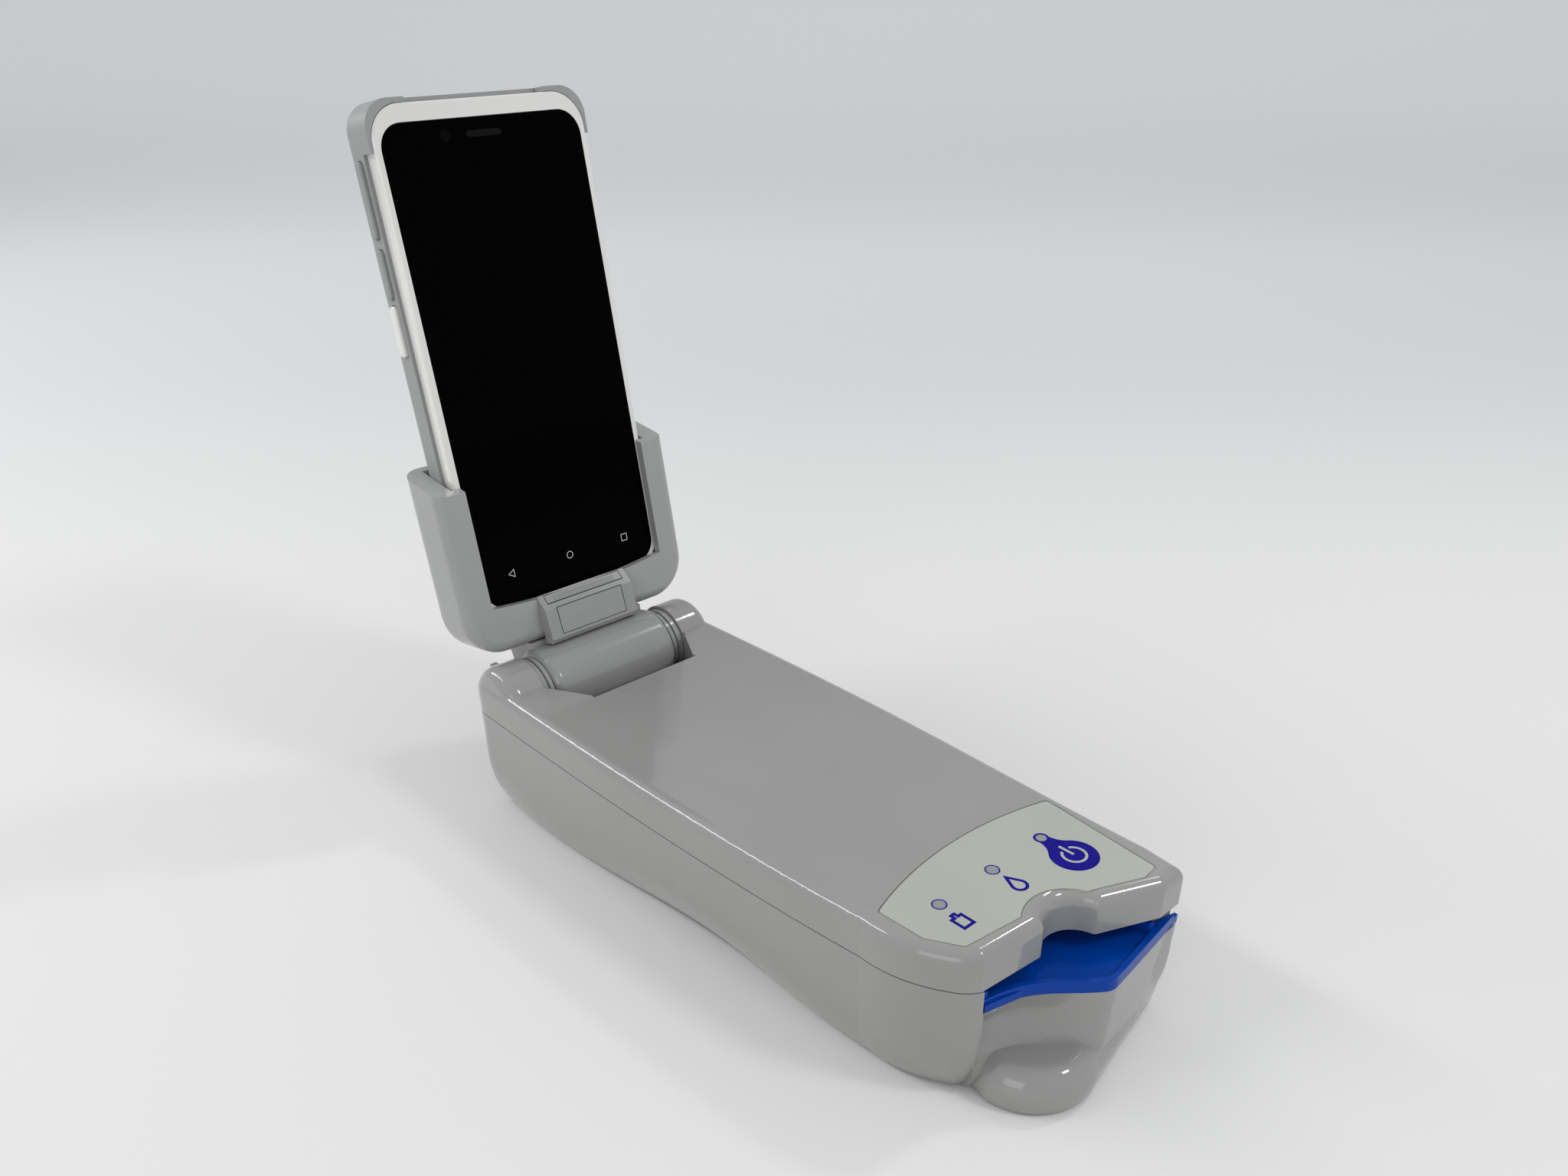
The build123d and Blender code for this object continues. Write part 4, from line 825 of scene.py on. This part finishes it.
class READER_OT_stage(bpy.types.Operator):
    """Pale floor and backdrop, soft lamps and the camera."""

    bl_idname = "reader.stage"
    bl_label = "Stage"

    def execute(self, context):
        scene = context.scene
        settings = scene.reader_stage
        self.floor(settings)
        for name, share, size, place in LAMPS:
            self.lamp(name, share * settings.lamp_power, size, Vector(place))
        world = bpy.data.worlds.new("Soft studio")
        world.use_nodes = True
        background = world.node_tree.nodes["Background"]
        background.inputs["Color"].default_value = (*settings.world, 1.0)
        background.inputs["Strength"].default_value = settings.world_light
        scene.world = world
        scene.view_settings.view_transform = "Standard"
        scene.camera = self.camera(settings)
        return {"FINISHED"}

    def floor(self, settings):
        """A floor that curves up into a backdrop far behind the object."""
        profile = [(-FLOOR_REACH, 0.0), (WALL_DISTANCE, 0.0)]
        for i in range(1, CURVE_STEPS + 1):
            turned = pi / 2 * i / CURVE_STEPS
            forward = WALL_DISTANCE + WALL_CURVE * sin(turned)
            profile.append((forward, WALL_CURVE - WALL_CURVE * cos(turned)))
        profile.append((WALL_DISTANCE + WALL_CURVE, WALL_TOP))
        aim = Matrix.Rotation(FLOOR_TURN, 3, "Z")
        shape = bmesh.new()
        rows = [
            [shape.verts.new(aim @ Vector((x, y, z))) for x in (-FLOOR_REACH, FLOOR_REACH)]
            for y, z in profile
        ]
        for near, far in zip(rows, rows[1:]):
            shape.faces.new((near[0], near[1], far[1], far[0]))
        mesh = bpy.data.meshes.new("Floor")
        shape.to_mesh(mesh)
        shape.free()
        for face in mesh.polygons:
            face.use_smooth = True
        mesh.materials.append(self.floor_material(settings, aim @ Vector((0.0, 1.0, 0.0))))
        ground = add_object("Floor", mesh)

    def floor_material(self, settings, forward):
        """A pale floor with painted shade: darker with the distance forward, lighter again on the
        backdrop.
        """
        material = bpy.data.materials.new("Pale floor")
        material.use_nodes = True
        tree = material.node_tree
        shader = tree.nodes["Principled BSDF"]
        shader.inputs["Roughness"].default_value = 0.6
        shader.inputs["Specular IOR Level"].default_value = 0.2
        where = node(tree, "ShaderNodeTexCoord", (-900, 0))
        along = {1: forward}
        away = node(tree, "ShaderNodeVectorMath", (-700, 0), along, operation="DOT_PRODUCT")
        share = node(tree, "ShaderNodeMapRange", (-500, 0), {"From Max": FADE})
        fade = node(tree, "ShaderNodeValToRGB", (-300, 0))
        fade.color_ramp.interpolation = "EASE"
        stops = fade.color_ramp.elements
        # Painted shade: the floor behind is darker, and the backdrop lighter.
        near, behind, farther, wall = FADE_STOPS
        stops[0].position, stops[0].color = near, (*settings.floor, 1.0)
        stops[1].position, stops[1].color = wall, (*settings.backdrop, 1.0)
        stops.new(behind).color = (*settings.behind, 1.0)
        stops.new(farther).color = (*(settings.behind + settings.backdrop) / 2, 1.0)
        join(
            tree,
            (where, "Object", away, 0),
            (away, "Value", share, "Value"),
            (share, "Result", fade, "Fac"),
            (fade, "Color", shader, "Base Color"),
        )
        return material

    def lamp(self, name, power, size, place):
        """A soft lamp that looks at the reader, its second side along the reader's length."""
        data = bpy.data.lights.new(name, "AREA")
        data.energy = power
        data.shape = "RECTANGLE"
        data.size, data.size_y = size
        away = (place - LAMP_AIM).normalized()
        across = Vector((0.0, 1.0, 0.0)).cross(away).normalized()
        set_axes(add_object(name, data), place, across, away.cross(across), away)

    def camera(self, settings):
        """The photograph's viewpoint, with its lens and its off-centre frame."""
        data = bpy.data.cameras.new("Camera")
        data.sensor_width = SENSOR_WIDTH
        data.lens = settings.focal
        data.shift_x, data.shift_y = CAMERA_SHIFT
        data.clip_start = NEAREST_SEEN
        view = CAMERA_VIEW.normalized()
        right = view.cross(Vector((0.0, 0.0, 1.0))).normalized()
        up = right.cross(view)
        across = cos(CAMERA_ROLL) * right + sin(CAMERA_ROLL) * up
        upward = cos(CAMERA_ROLL) * up - sin(CAMERA_ROLL) * right
        camera = add_object("Camera", data)
        set_axes(camera, CAMERA_PLACE, across, upward, -view)
        return camera


OPERATORS = (
    READER_OT_housing,
    READER_OT_hinge_and_cradle,
    READER_OT_host,
    READER_OT_inner_pieces,
    READER_OT_label_signs,
    READER_OT_screen_signs,
    READER_OT_stage,
)


class READER_PT_panel(bpy.types.Panel):
    """Lists the steps that build the looks."""

    bl_idname = "READER_PT_panel"
    bl_label = "Card Reader"
    bl_space_type = "VIEW_3D"
    bl_region_type = "UI"
    bl_category = "Card Reader"

    def draw(self, context):
        for step in OPERATORS:
            self.layout.operator(step.bl_idname)


CLASSES = (FinishColours, SignSizes, StageSettings, *OPERATORS, READER_PT_panel)


def register():
    """Adds the settings, operators and panel."""
    for item in CLASSES:
        bpy.utils.register_class(item)
    bpy.types.Scene.reader_colours = PointerProperty(type=FinishColours)
    bpy.types.Scene.reader_signs = PointerProperty(type=SignSizes)
    bpy.types.Scene.reader_stage = PointerProperty(type=StageSettings)


def unregister():
    """Removes what register adds."""
    del bpy.types.Scene.reader_stage
    del bpy.types.Scene.reader_signs
    del bpy.types.Scene.reader_colours
    for item in reversed(CLASSES):
        bpy.utils.unregister_class(item)


def main():
    """Runs the steps in order."""
    register()
    bpy.ops.reader.housing()
    bpy.ops.reader.hinge_and_cradle()
    bpy.ops.reader.host()
    bpy.ops.reader.inner_pieces()
    bpy.ops.reader.label_signs()
    bpy.ops.reader.screen_signs()
    bpy.ops.reader.stage()


if __name__ == "__main__":
    main()
